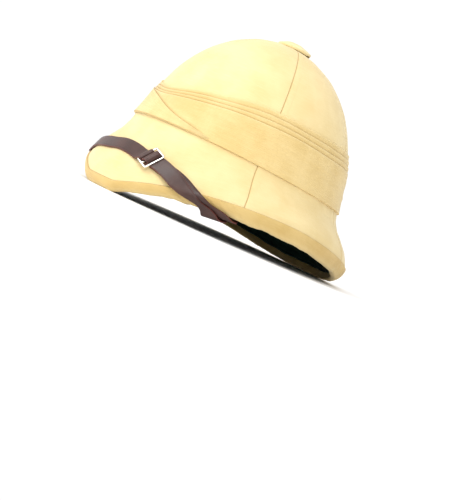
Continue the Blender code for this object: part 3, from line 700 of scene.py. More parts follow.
def make_pugaree(surface):
    """The wound cloth: a smooth band and three pleats, each a layer whose folded lip stands proud."""
    angles = all_round(BAND_COLUMNS)
    off = from_front(angles - PUGAREE_LOW)
    most = np.hypot(180, PUGAREE_SOFT) - PUGAREE_SOFT
    degrees = 180 * (np.hypot(off, PUGAREE_SOFT) - PUGAREE_SOFT) / most
    band = PUGAREE_HEIGHT * eased(PUGAREE_ROWS, 1, degrees)
    top = PUGAREE_HEIGHT * eased(PUGAREE_ROWS, 2, degrees)
    band = band + 0.35 * MM * ripple(angles, 0, 61, waves=6, finest=8)
    edges = [band + (top - band) * share for share in (0, 0.30, 0.64, 1)]
    edges = [e + 0.25 * MM * ripple(angles, k, 62 + k, waves=6, finest=10) for k, e in enumerate(edges)]
    lows = [GAP + 0 * band, *[e - 0.3 * MM for e in edges[:-1]]]
    heights = []
    stands = []
    marks = []
    for k, (root, lip) in enumerate(LAYER_ROWS):
        count = 44 if k == 0 else 15
        height, stand = layer_rows(lows[k], edges[k], root * MM, lip * MM, count)
        heights.append(height)
        stands.append(stand)
        # Painted light: a painted highlight on each folded lip, and painted shade at each layer's root
        # just above the lip below, and above the front fold's edge.
        behind = lows[k] if k else fold_top(angles)
        painted_shade = bell(height - behind, 1.5 * MM) * (1 if k else FOLD_PAINTED_SHADE * fold_fade(angles))
        marks.append(0.5 * bell(height - edges[k], 0.9 * MM) - painted_shade)
    height = np.concatenate(heights)
    stand = np.concatenate(stands)
    share = height / PUGAREE_HEIGHT
    lower = step(height, 0, 3 * MM) * (1 - step(height, band - 3 * MM, band))
    swell = 0.35 * MM * np.sin(np.pi * np.clip(height / band, 0, 1))
    uneven = 0.2 * MM * ripple(angles[None], share * 9, 71, waves=9, finest=12)
    bare = 1 - fold_fade(angles) * (1 - step(height, fold_top(angles), fold_top(angles) + 4 * MM))
    stand = stand + (wrinkles(angles[None], share) + swell + uneven) * lower * bare
    turned_under = rows_of(-0.15, -0.28, -0.2) + 0 * band
    under_stand = rows_of(0.9, 1.5, 2.1) + 0 * band
    back_height = np.array([top - 0.6 * MM, top * 0.5, 0.25 * MM + 0 * top])
    back_stand = np.full(back_height.shape, 0.08 * MM)
    heights = [GAP + turned_under, height, back_height]
    turns, grid = off_crown_rows(angles, heights, [under_stand, stand, back_stand])
    across, down = chart(turns, np.full((len(grid), 1), BAND_RADIUS), cloth_run(grid, True))
    plain = np.zeros((3, len(angles)))
    marks_and_painted_light = np.concatenate([plain, *marks, plain])[::-1]
    piece = lay_cloth("wound_cloth", grid, across, down, surface, marks_and_painted_light=marks_and_painted_light)
    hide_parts("pugaree_band", "pugaree_pleat_1", "pugaree_pleat_2", "pugaree_pleat_3")


def fold_top(angles):
    """Upper edge of the front fold, and its lower end outside its own span."""
    return PUGAREE_HEIGHT * eased(FOLD_ROWS, 1, from_front(angles))


def fold_fade(angles):
    """How much the front fold stands out: 0 at both of its ends, 1 between."""
    off = from_front(angles)
    return step(off, -34, -20) * (1 - step(off, 24, 34))


def make_front_fold(surface):
    """The last turn of the wound cloth, crossing the front with a folded slanting edge."""
    angles = np.radians(np.linspace(-34, 34, 181))
    top = fold_top(angles)
    q = np.linspace(0, 1, 34)[:, None]
    height = GAP + (top - GAP) * q
    share = height / PUGAREE_HEIGHT
    ends = step(angles, math.radians(-40), math.radians(-12))
    soft = 0.4 * MM * np.sin(share * 55 + angles * 5) * ends
    fade = fold_fade(angles)
    stand = 3.1 * MM + (0.95 * MM + 0.2 * MM * np.sin(np.pi * q) + soft * q * (1 - q) * 2) * fade
    lip_height = top + rows_of(0.2, 0.3, 0.15, -0.3)
    lip_stand = stand[-1:] + rows_of(-0.15, -0.45, -0.8, -0.95) * (0.4 + 0.6 * fade)
    root_height = GAP + rows_of(-0.12, -0.25, -0.15) + 0 * top
    root_stand = rows_of(1.9, 2.5, 3.1) + 0 * top
    back_height = np.array([top - 1 * MM, GAP + 0.3 * MM + 0 * top])
    back_stand = np.full(back_height.shape, 1.9 * MM)
    heights = [root_height, height, lip_height, back_height]
    turns, grid = off_crown_rows(angles, heights, [root_stand, stand, lip_stand, back_stand])
    across = np.vstack([turns, turns[:1]]) * BAND_RADIUS
    down = np.broadcast_to(cloth_run(grid, True)[:, None], across.shape)
    # Painted highlight along the top of the folded lip.
    lit = bell(np.arange(len(grid))[::-1] - 38, 2.5)
    marks_and_painted_light = np.broadcast_to(0.5 * lit[:, None], grid.shape[:2])
    piece = lay_cloth("front_fold", grid, across, down, surface, around=False, marks_and_painted_light=marks_and_painted_light)
    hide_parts("pugaree_front_fold")


def make_cap(surface):
    """The vent's cloth-covered cap: a turned dome with a rolled rim, slightly puckered."""
    angles = all_round(CAP_COLUMNS)
    under = COLLAR_RISE + GAP
    dome = np.linspace(0, 1, 18)
    roll = np.radians(np.linspace(60, -110, 12))
    rim = 1.3 * MM
    top = dome * (CAP_RADIUS - rim) * 0.985
    radius = np.concatenate([top, CAP_RADIUS - rim + rim * np.cos(roll), [CAP_RADIUS - 2.6 * MM, 0]])
    rise = CAP_RISE + CAP_PUFF
    height = np.concatenate([
        under + rise * (1 - dome**2.4) * 0.93 + rim * 0.6,
        under - CAP_EDGE + rim + rim * np.sin(roll),
        [under - 0.2 * MM, under],
    ])
    near_rim = step(radius, 12 * MM, 18 * MM)[:, None]
    pucker = 0.12 * MM * np.sin(angles * 26 + np.sin(angles * 5)) * near_rim
    radius = radius[:, None] + pucker
    height = height[:, None] + 0.1 * MM * ripple(angles, 0, 81)[None] * step(radius, 2 * MM, 9 * MM)
    opening = bell(angles - CAP_GAP_ANGLE, math.radians(26))
    skirt = 1.1 * MM * (1 - opening) * step(-height, -0.9 * MM, 0.2 * MM)
    lifted = CAP_GAP_RISE * opening * step(radius, 9 * MM, CAP_RADIUS)
    height = CROWN_HEIGHT + height - skirt + lifted
    grid = np.stack([radius * np.sin(angles), -radius * np.cos(angles), height], axis=-1)
    turns = np.broadcast_to(angles, grid.shape[:2])
    length = cloth_run(grid, False)
    # A lighter band round the rolled rim, and painted shade on the underside of the cap.
    underside = step(np.arange(len(grid)), len(grid) - 7, len(grid) - 4)
    marks_and_painted_light = (0.6 * step(length, 15 * MM, 20 * MM) * (1 - underside) - underside)[:, None] + 0 * turns
    across = np.hstack([grid[..., 0], grid[:, :1, 0]])
    down = np.hstack([grid[..., 1], grid[:, :1, 1]])
    piece = lay_cloth("cap_cloth", grid, across, down, surface, section=False, marks_and_painted_light=marks_and_painted_light)
    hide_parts("vent_cap")


class StrapBed:
    """The face that the strap lies on, read by angle and by length along the section.

    The length is counted from the middle of the brim's edge, negative outside. Every section is
    resampled at even lengths, so that many places are read at once from four neighbours.
    """

    def __init__(self, edge_angles, edge):
        stations = len(edge_angles)
        outside_levels = np.linspace(1, 1.98, 40)
        outside = shell_face(edge_angles[None], outside_levels[:, None])
        lining_levels = np.linspace(1.975, 1, 40)
        plain = shell_face(edge_angles[None], lining_levels[:, None])
        inside = plain + facing(plain) * (SHELL_WALL + GAP + LINING_WALL)
        rings = np.concatenate([outside, edge, inside])
        middle = len(outside) + len(edge) * 47 // 100
        steps = np.linalg.norm(np.diff(rings, axis=0), axis=2)
        length = np.concatenate([np.zeros((1, stations)), np.cumsum(steps, axis=0)])
        length -= length[middle]
        crease_out = len(outside) + 4
        crease_in = len(outside) + len(edge) - 7
        self.marks = length[[0, crease_out, middle, crease_in, -1]]
        self.reach = 150 * MM
        self.grain = 0.25 * MM
        even = np.arange(-self.reach, self.reach, self.grain)
        sections = [
            [np.interp(even, length[:, s], rings[:, s, axis]) for axis in range(3)]
            for s in range(stations)
        ]
        self.table = np.array(sections).transpose(0, 2, 1)
        self.stations = stations

    def along(self, angle, wrap):
        """Length along the section at a wrap number."""
        place = int(round(angle / (2 * np.pi) * self.stations)) % self.stations
        return float(np.interp(wrap, range(5), self.marks[:, place]))

    def point(self, angle, length):
        place = np.asarray(angle) / (2 * np.pi) * self.stations
        i = np.floor(place).astype(int)
        u = (place - i)[..., None]
        row = (np.asarray(length) + self.reach) / self.grain
        k = np.clip(np.floor(row).astype(int), 0, self.table.shape[1] - 2)
        v = (row - k)[..., None]
        one = self.table[i % self.stations, k] * (1 - v) + self.table[i % self.stations, k + 1] * v
        j = (i + 1) % self.stations
        two = self.table[j, k] * (1 - v) + self.table[j, k + 1] * v
        return one * (1 - u) + two * u

    def normal(self, angle, length):
        """Direction away from the wall, smoothed over a span on both sides."""
        along = self.point(angle, length + BED_SPAN) - self.point(angle, length - BED_SPAN)
        around = self.point(angle + BED_TURN, length) - self.point(angle - BED_TURN, length)
        return unit(np.cross(along, around))


def smooth_path(points, sample):
    """A Catmull-Rom curve through control points, sampled about evenly."""
    points = np.array(points, float)
    ends = np.vstack([2 * points[0] - points[1], points, 2 * points[-1] - points[-2]])
    spans = np.linalg.norm(np.diff(points[:, 1:], axis=0), axis=1)
    counts = np.maximum(3, np.round(spans / sample)).astype(int)
    index = np.repeat(np.arange(len(spans)), counts)
    u = (np.arange(len(index)) - np.repeat(np.cumsum(counts) - counts, counts)) / counts[index]
    u = u[:, None]
    a, b, c, d = (ends[index + k] for k in range(4))
    squared = (2 * a - 5 * b + 4 * c - d) * u**2
    curve = 0.5 * (2 * b + (c - a) * u + squared + (3 * b - 3 * c + d - a) * u**3)
    return np.vstack([curve, points[-1]])


def surface_leg(bed, rows, height, most):
    """A leg of the strap on its bed: angle, length round the brim, length along the section, height.

    It stands off the edge by the given most, which eases away on a parabola.
    """
    leg = []
    for degrees, wrap in rows:
        angle = math.radians(degrees)
        along = bed.along(angle, wrap)
        ease = most * max(0, 1 - (along / STRAP_EASE_ZONE) ** 2)
        leg.append((angle, angle * SIDE_REACH, along, height + ease))
    return leg


def ahead_of(point, heading, distance, height):
    """A path point moved along a heading on the bed, at a height of its own."""
    shift = heading * distance
    return (point[0] + shift[0] / SIDE_REACH, point[1] + shift[0], point[2] + shift[1], height)


def heading_from(one, two):
    return unit(np.array(two[1:3]) - np.array(one[1:3]))


def turn_over_bar(before, at_bar, low, high):
    """Points that carry the strap on past a loop's bar and back, on a half circle."""
    heading = heading_from(before, at_bar)
    radius = (high - low) / 2
    reach = LOOP_BAR / 2 + GAP
    return [
        ahead_of(at_bar, heading, reach + radius * math.cos(a), (low + high) / 2 - radius * math.sin(a))
        for a in np.radians(TURN_DEGREES)
    ]


def strap_path(bed):
    """The whole strap: rolled end at the slide, tail, left loop, over the peak, right loop."""
    under = STRAP_GAP + STRAP_WALL / 2
    over = under + STRAP_WALL + GAP
    back = under + STRAP_WALL + 2 * BAR_CLEARANCE + LOOP_POST
    tail = surface_leg(bed, TAIL_ROWS, over, TAIL_EASE)
    main = surface_leg(bed, STRAP_ROWS, under, LOOSE_EASE)
    far = surface_leg(bed, STRAP_ROWS, under, STRAP_EASE)
    main = [one if one[0] > 0 else two for one, two in zip(main, far)]
    at_slide = STRAP_ROWS.index(AT_SLIDE)
    heading = heading_from(main[at_slide + 1], main[at_slide - 1])
    roll = STRAP_WALL / 2 + BAR_EASE + SLIDE_WIRE / 2
    curl = []
    for a in np.radians(CURL_DEGREES):
        rise = roll if math.cos(a) > 0 else CURL_RISE
        reach = CURL_SHIFT - CURL_REACH * math.sin(a)
        curl.append(ahead_of(tail[0], heading, reach, over + roll - rise * math.cos(a)))
    slide = main[at_slide]
    climb = [ahead_of(slide, heading, reach * MM, rise * MM) for reach, rise in STRAP_RISE_ROWS]
    round_left = turn_over_bar(main[1], main[0], under, back)[::-1]
    round_right = turn_over_bar(main[-2], main[-1], under, back)
    tail[-1] = (*tail[-1][:3], back)
    end = [(*main[-1][:3], back), *surface_leg(bed, STRAP_END_ROWS, over, STRAP_EASE)]
    main[at_slide : at_slide + 1] = climb
    return smooth_path([*curl, *tail, *round_left, *main, *round_right, *end], STRAP_SAMPLE)


def strap_columns(bed, path):
    """The strap's middle line and its two edges. It is straight across, except over the brim's edge."""
    travel = np.gradient(path[:, 1:3], axis=0)
    speed = np.linalg.norm(travel, axis=1)
    heading = travel / np.maximum(speed, 1e-9)[:, None]
    side = np.column_stack([-heading[:, 1], heading[:, 0]])
    turned = np.sign((side[1:] * side[:-1]).sum(axis=1))
    turned[turned == 0] = 1
    side = side * np.concatenate([[1], np.cumprod(turned)])[:, None]
    weight = np.minimum(speed, 0.3 * MM)[:, None] + 1e-6
    for _ in range(24):
        blend = side * weight
        side[1:-1] = unit(blend[:-2] + blend[1:-1] + blend[2:])
    flat = np.clip(np.abs(path[:, 2:3]) / STRAP_EDGE_ZONE, 0, 1) ** 2
    lean = side * np.hstack([np.ones_like(flat), flat])
    crossing = np.maximum(np.abs((lean * side).sum(axis=1, keepdims=True)), STRAP_LEAN_LIMIT)
    shift = lean / crossing * STRAP_WIDTH
    radius = np.linalg.norm(bed.point(path[:, 0], path[:, 2])[:, :2], axis=1)
    columns = []
    for share in (-0.5, 0, 0.5):
        there = path[:, 0] + shift[:, 0] * share / radius
        length = path[:, 2] + shift[:, 1] * share
        columns.append(bed.point(there, length) + bed.normal(there, length) * path[:, 3:4])
    left, middle, right = columns
    half = unit(right - left) * STRAP_WIDTH / 2
    left = left * (1 - flat) + (middle - half) * flat
    right = right * (1 - flat) + (middle + half) * flat
    return stiffened(path, np.array([left, middle, right]))


def stiffened(path, columns):
    """Evens out the strap's bends on the brim outside its edge, by repeated means of neighbours.

    The rolled end, the climb over the slide and the turns at the edge and the loops keep their form.
    """
    outside = step(-path[:, 2], 5 * MM, 11 * MM)
    near_slide = np.abs(path[:, 0] - math.radians(SLIDE_DEGREES)) * SIDE_REACH
    free = outside * step(near_slide, 13 * MM, 22 * MM)
    free = 0.5 * free[1:-1, None]
    for _ in range(STRAP_STIFFNESS):
        between = (columns[:, :-2] + columns[:, 2:]) / 2
        columns[:, 1:-1] += (between - columns[:, 1:-1]) * free
    return columns


def strap_section():
    """The strap's section as (share across, share of the thickness): flat faces with a pressed line
    near each edge, and rounded sides."""
    half = np.array([0.45, 0.7, 0.80, 0.83, 0.86, 0.9, 0.955])
    pressed = np.array([1.0, 1.0, 0.97, 0.86, 0.97, 1.0, 0.98])
    across = np.concatenate([-half[::-1], [0], half])
    press = np.concatenate([pressed[::-1], [1.0], pressed])
    side = np.radians([60, 30, 0, -30, -60])
    round_right = np.column_stack([0.955 + 0.045 * np.cos(side), np.sin(side)])
    face = np.column_stack([across, press])
    return np.vstack([face, round_right, face[::-1] * [1, -1], -round_right])


def make_strap(bed, surface):
    """Dark leather strap: its section carried along the path over the peak."""
    path = strap_path(bed)
    left, middle, right = strap_columns(bed, path)
    forward = unit(np.gradient(middle, axis=0))
    section = strap_section()
    share = section[:, :1, None]
    bow = (left + right - 2 * middle) / 2
    line = middle + (right - left) / 2 * share + bow * share**2
    across = unit((right - left) / 2 + 2 * bow * share)
    thick = unit(np.cross(across, forward[None]))
    grid = line + thick * (section[:, 1:, None] * STRAP_WALL / 2)
    run = np.concatenate([[0], np.cumsum(np.linalg.norm(np.diff(middle, axis=0), axis=1))])
    round_section = np.append(section[:, 0] + np.where(section[:, 1] < 0, 4, 0), section[0, 0] + 8)
    across_map = np.broadcast_to(run[None], (len(section) + 1, len(run)))
    down_map = np.broadcast_to(round_section[:, None] * STRAP_WIDTH / 2, across_map.shape)
    cut = step(np.abs(section[:, 0]), 0.93, 0.975)[:, None] + 0 * grid[..., 0]
    piece = lay_cloth("strap_leather", grid, across_map, down_map, surface, around=False, marks_and_painted_light=cut)
    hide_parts("chin_strap")
    return path, (left, middle, right)


def strap_frame(bed, path, columns, degrees, wrap):
    """A local frame on the strap's lower layer: X along the strap, Z away from the wall."""
    angle = math.radians(degrees)
    place = np.array([angle * SIDE_REACH, bed.along(angle, wrap), STRAP_GAP + STRAP_WALL / 2])
    i = int(np.argmin(np.linalg.norm(path[:, 1:] - place, axis=1)))
    left, middle, right = columns
    z = bed.normal(path[i, 0], path[i, 2])
    y = right[i] - left[i]
    y = unit(y - z * (y @ z))
    return np.column_stack([np.cross(y, z), y, z]), middle[i] - z * path[i, 3]


def rounded(points, radius, corner_steps=4):
    """A closed outline in a plane with each corner replaced by an arc of that radius."""
    points = np.array(points, float)
    made = []
    for before, here, after in zip(np.roll(points, 1, axis=0), points, np.roll(points, -1, axis=0)):
        one = here + unit(before - here) * radius
        two = here + unit(after - here) * radius
        t = np.linspace(0, 1, corner_steps + 1)[:, None]
        made.append(one * (1 - t) ** 2 + here * 2 * t * (1 - t) + two * t**2)
    return np.vstack(made)


def squarish(wide, tall, power):
    """A section between an oval and a rectangle: the cosine and the sine, each raised to a power
    below 1 with its sign kept."""
    turn = all_round(20)
    waves = ((np.cos(turn), wide), (np.sin(turn), tall))
    return [np.sign(wave) * np.abs(wave) ** power * size / 2 for wave, size in waves]


def swept(line, out, deep, rise):
    """A section carried along a line in a plane: its part in the plane, and its part across it."""
    flat = line[None] + out * deep[:, None, None]
    return flat, np.broadcast_to(rise[:, None, None], (*flat.shape[:2], 1))


def wire_loop(outline, wire, wide):
    """A closed wire with a rounded section, wire by wide, carried round an outline in a plane."""
    ahead = unit(np.roll(outline, -1, axis=0) - np.roll(outline, 1, axis=0))
    out = np.column_stack([ahead[:, 1], -ahead[:, 0]])
    return np.dstack(swept(outline, out, *squarish(wire, wide, 0.45)))


def place_metal(name, grids, turn, origin, surface, *nodes):
    """Joins closed wires and bars, given in a local frame, into one piece of metal."""
    bm = bmesh.new()
    for grid, around in grids:
        rows, cols = grid.shape[:2]
        verts = [bm.verts.new(p) for p in in_row(grid.reshape(-1, 3) @ turn.T + origin)]
        for i in range(rows):
            for j in range(cols if around else cols - 1):
                n = (i + 1) % rows
                m = (j + 1) % cols
                corners = ((i, j), (n, j), (n, m), (i, m))
                bm.faces.new([verts[row * cols + col] for row, col in corners])
        if not around:
            bm.faces.new([verts[i * cols] for i in range(rows)])
            bm.faces.new([verts[i * cols + cols - 1] for i in range(rows)])
    bmesh.ops.recalc_face_normals(bm, faces=bm.faces)
    mesh = bpy.data.meshes.new(name)
    bm.to_mesh(mesh)
    bm.free()
    piece = finish_piece(name, mesh, surface)
    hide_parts(*nodes)


def straight_bar(start, end, wire, tall):
    """A bar with a rounded section between two points of the XY plane."""
    start, end = np.array(start, float), np.array(end, float)
    side = unit(np.array([end[1] - start[1], start[0] - end[0]]))
    return np.dstack(swept(np.array([start, end]), side, *squarish(wire, tall, 0.6)))


def make_slide(where, surface):
    """Bright steel slide: a rectangle of flat wire and its middle bar."""
    turn, origin = where
    half_x = (SLIDE_LENGTH - SLIDE_WIRE) / 2
    half_y = STRAP_WIDTH / 2 + SLIDE_SIDE + SLIDE_WIRE / 2
    corners = [(-half_x, -half_y), (half_x, -half_y), (half_x, half_y), (-half_x, half_y)]
    rim = wire_loop(rounded(corners, 1.3 * MM), SLIDE_WIRE, SLIDE_WIRE * 0.9)
    bar = straight_bar((0, -half_y), (0, half_y), SLIDE_WIRE * 0.96, SLIDE_WIRE * 0.86)
    height = STRAP_GAP + 2 * STRAP_WALL + GAP + BAR_EASE + SLIDE_WIRE / 2
    middle = origin + turn[:, 2] * height
    place_metal("steel_slide", [(rim, True), (bar, False)], turn, middle, surface, "strap_slide")


def make_loop(name, where, surface, node):
    """A plain loop: a flat bar across the strap on two short posts."""
    turn, origin = where
    span = STRAP_WIDTH / 2 + LOOP_SIDE + LOOP_POST / 2
    low = LOOP_STANDOFF
    high = STRAP_GAP + STRAP_WALL + BAR_CLEARANCE + LOOP_POST / 2
    line = cut_corners(np.array([[-span, low], [-span, high], [span, high], [span, low]]), 2)
    ahead = unit(np.gradient(line, axis=0))
    out = np.column_stack([-ahead[:, 1], ahead[:, 0]])
    flat, wide = swept(line, out, *squarish(LOOP_POST, LOOP_BAR, 0.5))
    grid = np.dstack([wide, flat])
    place_metal(name, [(grid, False)], turn, origin, surface, node)


def to_linear(hex_colour):
    """sRGB hex to linear red, green, blue and full alpha."""
    srgb = [int(hex_colour[k : k + 2], 16) / 255 for k in (1, 3, 5)]
    return (*[c / 12.92 if c <= 0.04045 else ((c + 0.055) / 1.055) ** 2.4 for c in srgb], 1.0)


def fill(tree, node, sockets):
    """Fills a node's sockets, each with a value or with another node's output."""
    for key, value in sockets.items():
        socket = node.inputs[key]
        if isinstance(value, bpy.types.NodeSocket):
            tree.links.new(value, socket)
        else:
            socket.default_value = value


def add(tree, kind, sockets=None, **settings):
    """Adds a node. settings are its properties, and sockets are filled as fill does."""
    made = tree.nodes.new(kind)
    for key, value in settings.items():
        setattr(made, key, value)
    fill(tree, made, sockets or {})
    return made


def new_material(name):
    made = bpy.data.materials.new(name)
    made.use_nodes = True
    tree = made.node_tree
    return made, tree, tree.nodes["Principled BSDF"]


def on_object(tree):
    return add(tree, "ShaderNodeTexCoord").outputs["Object"]


def read_marks_and_painted_light(tree):
    return add(tree, "ShaderNodeAttribute", attribute_name="marks_and_painted_light").outputs["Fac"]


def noise(tree, place, scale, detail=2):
    sockets = {"Vector": place, "Scale": scale, "Detail": detail}
    return add(tree, "ShaderNodeTexNoise", sockets).outputs[0]


def ranged(tree, value, low, high, bottom=0, top=1):
    """The value's range from low to high, drawn onto bottom to top and kept within them."""
    return add(tree, "ShaderNodeMapRange", {0: value, 1: low, 2: high, 3: bottom, 4: top}).outputs[0]


def weighed(tree, value, weight, plus):
    """The value times weight, plus another value."""
    sockets = {0: value, 1: weight, 2: plus}
    return add(tree, "ShaderNodeMath", sockets, operation="MULTIPLY_ADD").outputs[0]


def threads(tree, value, spacing):
    """A row of rounded threads, 0 to 1: half a cosine wave of the value, one for each spacing."""
    scaled = add(tree, "ShaderNodeMath", {0: value, 1: 2 * math.pi / spacing}, operation="MULTIPLY")
    wave = add(tree, "ShaderNodeMath", {0: scaled.outputs[0]}, operation="COSINE")
    return weighed(tree, wave.outputs[0], 0.5, 0.5)


def mixed(tree, share, one, two):
    """Mix of two colours by a share, each a hex colour or an output."""
    one, two = (to_linear(c) if isinstance(c, str) else c for c in (one, two))
    return add(tree, "ShaderNodeMix", {0: share, 6: one, 7: two}, data_type="RGBA").outputs[2]


def bumped(tree, height, distance, strength):
    sockets = {"Height": height, "Distance": distance, "Strength": strength}
    return add(tree, "ShaderNodeBump", sockets).outputs[0]


def cotton(name, base, shade, light, fold, warp, weft, depth, twill=0.0, roughness=0.92, sheen=0.25):
    """Woven cotton. Warp and weft are thread spacings across and down the cloth, drawn coarser than
    the real 0.4 mm so that they show; slubs are long uneven threads, and the dye is a little uneven
    over a few centimetres. A point attribute mixes towards light where it is positive, for rubbed
    wear on the turned edge, a lighter band on the vent cap's rim and painted highlight on folded lips,
    and towards fold where it is negative, for painted shade in folds, seam grooves, under the cap and
    at the edge's crease."""
    made, tree, shader = new_material(name)
    cloth = add(tree, "ShaderNodeUVMap", uv_map="cloth").outputs[0]
    parts = add(tree, "ShaderNodeSeparateXYZ", {0: cloth})
    across, down = parts.outputs[0], parts.outputs[1]
    along = threads(tree, weighed(tree, across, twill, down), weft)
    weave = weighed(tree, threads(tree, across, warp), 0.45, along)
    stretch = add(tree, "ShaderNodeMapping", {"Vector": cloth, "Scale": (60, 1400, 1)})
    slub = noise(tree, stretch.outputs[0], 1)
    cloud = noise(tree, on_object(tree), 28, 3)
    nap = noise(tree, on_object(tree), 900)
    colour = mixed(tree, ranged(tree, cloud, 0.35, 0.65), base, shade)
    colour = mixed(tree, ranged(tree, slub, 0.5, 0.75, 0, 0.22), colour, light)
    colour = mixed(tree, ranged(tree, weave, 0.45, 0, 0, 0.35), colour, shade)
    # Positive marks lighten for rubbed wear and painted highlight; negative marks darken for painted
    # shade.
    marks = read_marks_and_painted_light(tree)
    colour = mixed(tree, ranged(tree, marks, 0, 1, 0, 0.55), colour, light)
    colour = mixed(tree, ranged(tree, marks, 0, -1, 0, 0.62), colour, fold)
    relief = weighed(tree, slub, 0.3, weighed(tree, nap, 0.35, weave))
    fill(tree, shader, {"Base Color": colour, "Normal": bumped(tree, relief, depth, 0.7)})
    fill(tree, shader, {"Roughness": roughness, "Specular IOR Level": 0.25})
    fill(tree, shader, {"Sheen Weight": sheen, "Sheen Roughness": 0.5})
    return made


def strap_leather():
    """Bridle leather, dyed dark brown and waxed: fine pebbled grain, a soft shine, redder cut edges."""
    made, tree, shader = new_material("waxed_leather")
    place = on_object(tree)
    cloud = noise(tree, place, 45, 4)
    colour = mixed(tree, ranged(tree, cloud, 0.35, 0.7), "#38211B", "#4C2E26")
    colour = mixed(tree, read_marks_and_painted_light(tree), colour, "#5A231C")
    grain = add(tree, "ShaderNodeTexVoronoi", {"Vector": place, "Scale": 1300}).outputs[0]
    height = weighed(tree, grain, 0.6, noise(tree, place, 600, 3))
    rough = ranged(tree, cloud, 0.3, 0.7, 0.3, 0.42)
    fill(tree, shader, {"Base Color": colour, "Normal": bumped(tree, height, 0.00025, 0.35)})
    fill(tree, shader, {"Roughness": rough, "Specular IOR Level": 0.42})
    return made


def nickelled_steel():
    """Steel wire with a bright nickel plate, a little uneven in its shine, with a few dull spots."""
    made, tree, shader = new_material("nickelled_steel")
    cloud = noise(tree, on_object(tree), 260, 3)
    rough = ranged(tree, cloud, 0.3, 0.7, 0.14, 0.3)
    fill(tree, shader, {"Base Color": mixed(tree, cloud, "#E6E5E1", "#CFCDC8"), "Roughness": rough})
    fill(tree, shader, {"Normal": bumped(tree, cloud, 0.0001, 0.2), "Metallic": 1.0})
    return made


def camera_axes():
    """The point looked at and the camera's axes: low over the floor, rolled as the photograph is."""
    target = in_row(np.zeros(3))
    elevation = -math.asin((target[2] - CAMERA_HEIGHT) / CAMERA_DISTANCE)
    azimuth = CAMERA_AZIMUTH
    back = np.array([
        math.sin(azimuth) * math.cos(elevation),
        -math.cos(azimuth) * math.cos(elevation),
        math.sin(elevation),
    ])
    right = np.array([math.cos(azimuth), math.sin(azimuth), 0])
    over = np.cross(back, right)
    stem = TURN @ UP
    roll = PICTURE_ROLL - math.atan2(stem @ right, stem @ over)
    x = right * math.cos(roll) + over * math.sin(roll)
    y = -right * math.sin(roll) + over * math.cos(roll)
    return target, np.column_stack([x, y, back])


def make_camera():
    """A camera that puts the band's centre on its pixel of the photograph by turning, not by shift."""
    target, axes = camera_axes()
    pixels = PICTURE_SCALE * CAMERA_DISTANCE
    off_x = BAND_CENTRE_PIXEL[0] - PICTURE_SIZE[0] / 2
    off_y = PICTURE_SIZE[1] / 2 - BAND_CENTRE_PIXEL[1]
    pitch = Matrix.Rotation(-math.atan(off_y / pixels), 3, "X")
    yaw = Matrix.Rotation(math.atan(off_x / pixels), 3, "Y")
    turn = Matrix(axes.tolist()) @ pitch @ yaw
    lens = bpy.data.cameras.new("camera")
    lens.sensor_width = SENSOR
    lens.lens = SENSOR * pixels / max(PICTURE_SIZE)
    camera = linked("camera", lens)
    camera.matrix_world = Matrix.Translation(target + axes[:, 2] * CAMERA_DISTANCE) @ turn.to_4x4()
    bpy.context.scene.camera = camera
    return target, axes


def shining_from(away):
    """The turn of a lamp that shines against a direction."""
    side = unit(np.cross(UP, away))
    return Matrix(np.column_stack([side, np.cross(away, side), away]).tolist()).to_4x4()


def area_light(name, place, target, size, power):
    data = bpy.data.lights.new(name, "AREA")
    data.size = size
    data.energy = power
    light = linked(name, data)
    light.matrix_world = Matrix.Translation(place) @ shining_from(unit(place - target))


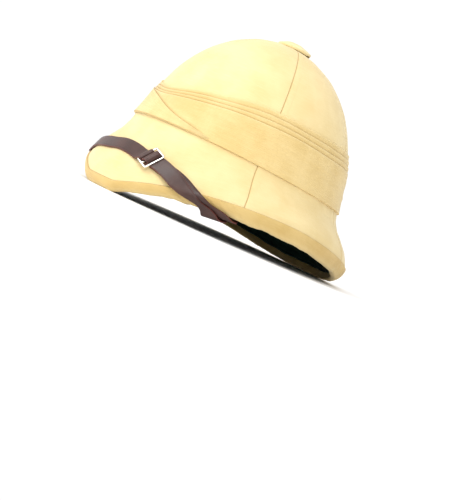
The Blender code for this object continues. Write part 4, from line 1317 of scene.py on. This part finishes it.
def make_stage(target, axes):
    """White floor, white surroundings, a key light up on the picture's left and a weak fill."""
    bpy.ops.mesh.primitive_plane_add(size=FLOOR_SIZE)
    floor = bpy.context.object
    floor.name = "floor"
    paper, tree, shader = new_material("white_floor")
    colour = mixed(tree, noise(tree, on_object(tree), 3), "#FFFFFF", "#FCFCFC")
    fill(tree, shader, {"Base Color": colour, "Roughness": 0.9})
    floor.data.materials.append(paper)
    world = bpy.data.worlds.new("studio")
    world.use_nodes = True
    tree = world.node_tree
    sky = tree.nodes["Background"]
    x, y, back = axes.T
    direction = add(tree, "ShaderNodeTexCoord").outputs["Generated"]
    bright_side = tuple(unit(-0.3 * x + 0.5 * y - 0.8 * back))
    toward = add(tree, "ShaderNodeVectorMath", {0: direction, 1: bright_side}, operation="DOT_PRODUCT")
    strength = ranged(tree, toward.outputs["Value"], -0.6, 0.55, 0.62, 1.04)
    fill(tree, sky, {"Strength": strength, "Color": to_linear("#FFFFFF")})
    bpy.context.scene.world = world
    sun = bpy.data.lights.new("key", "SUN")
    sun.energy = KEY_STRENGTH
    sun.angle = KEY_SPREAD
    key = linked("key", sun)
    key.matrix_world = shining_from(unit(-0.4 * x + 1.0 * y + 0.4 * back))
    fill_place = target + unit(0.2 * x + 0.5 * y + 0.9 * back) * FILL_DISTANCE
    area_light("fill", fill_place, target, FILL_SIZE, FILL_POWER)
    bpy.context.scene.view_settings.view_transform = "Standard"


def main():
    target, axes = make_camera()
    make_stage(target, axes)
    # Each set: base, shade, light and fold colours; the light and fold colours also give painted
    # highlight and painted shade.
    drill_colours = ("#E6D19C", "#DEC68C", "#F2E4B8", "#96702F")
    # The binding's colours are darker than the cover's: painted shade of the lip, which faces down.
    bias_colours_painted_shade = ("#D3B677", "#C7A764", "#E6D098", "#8A652B")
    wound_colours = ("#DDC48A", "#D3B779", "#EFDDAA", "#8E6A2E")
    green_dyes = ("#12352B", "#0D2A22", "#1E4A3C", "#061611")
    cover = cotton("khaki_drill", *drill_colours, THREAD, THREAD, 0.00009)
    bias = cotton("khaki_bias_binding", *bias_colours_painted_shade, THREAD, THREAD, 0.0001, twill=1.0)
    wound = cotton("khaki_ribbed_cotton", *wound_colours, *RIB, 0.0002)
    green = cotton("green_cotton", *green_dyes, THREAD, THREAD, 0.00012, roughness=0.8, sheen=0.1)
    leather = strap_leather()
    steel = nickelled_steel()
    make_cover(cover)
    edge_angles, edge = make_edge(bias)
    make_lining(green)
    make_pugaree(wound)
    make_front_fold(wound)
    make_cap(cover)
    bed = StrapBed(edge_angles, edge)
    path, columns = make_strap(bed, leather)
    make_slide(strap_frame(bed, path, columns, *AT_SLIDE), steel)
    for side, turned in (("left", 1), ("right", -1)):
        where = strap_frame(bed, path, columns, turned * STRAP_LOOP_DEGREES, STRAP_LOOP_WRAP)
        make_loop("loop_" + side, where, steel, "strap_loop_" + side)
    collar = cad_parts["vent_collar"]
    collar.data.materials.clear()
    collar.data.materials.append(steel)


main()
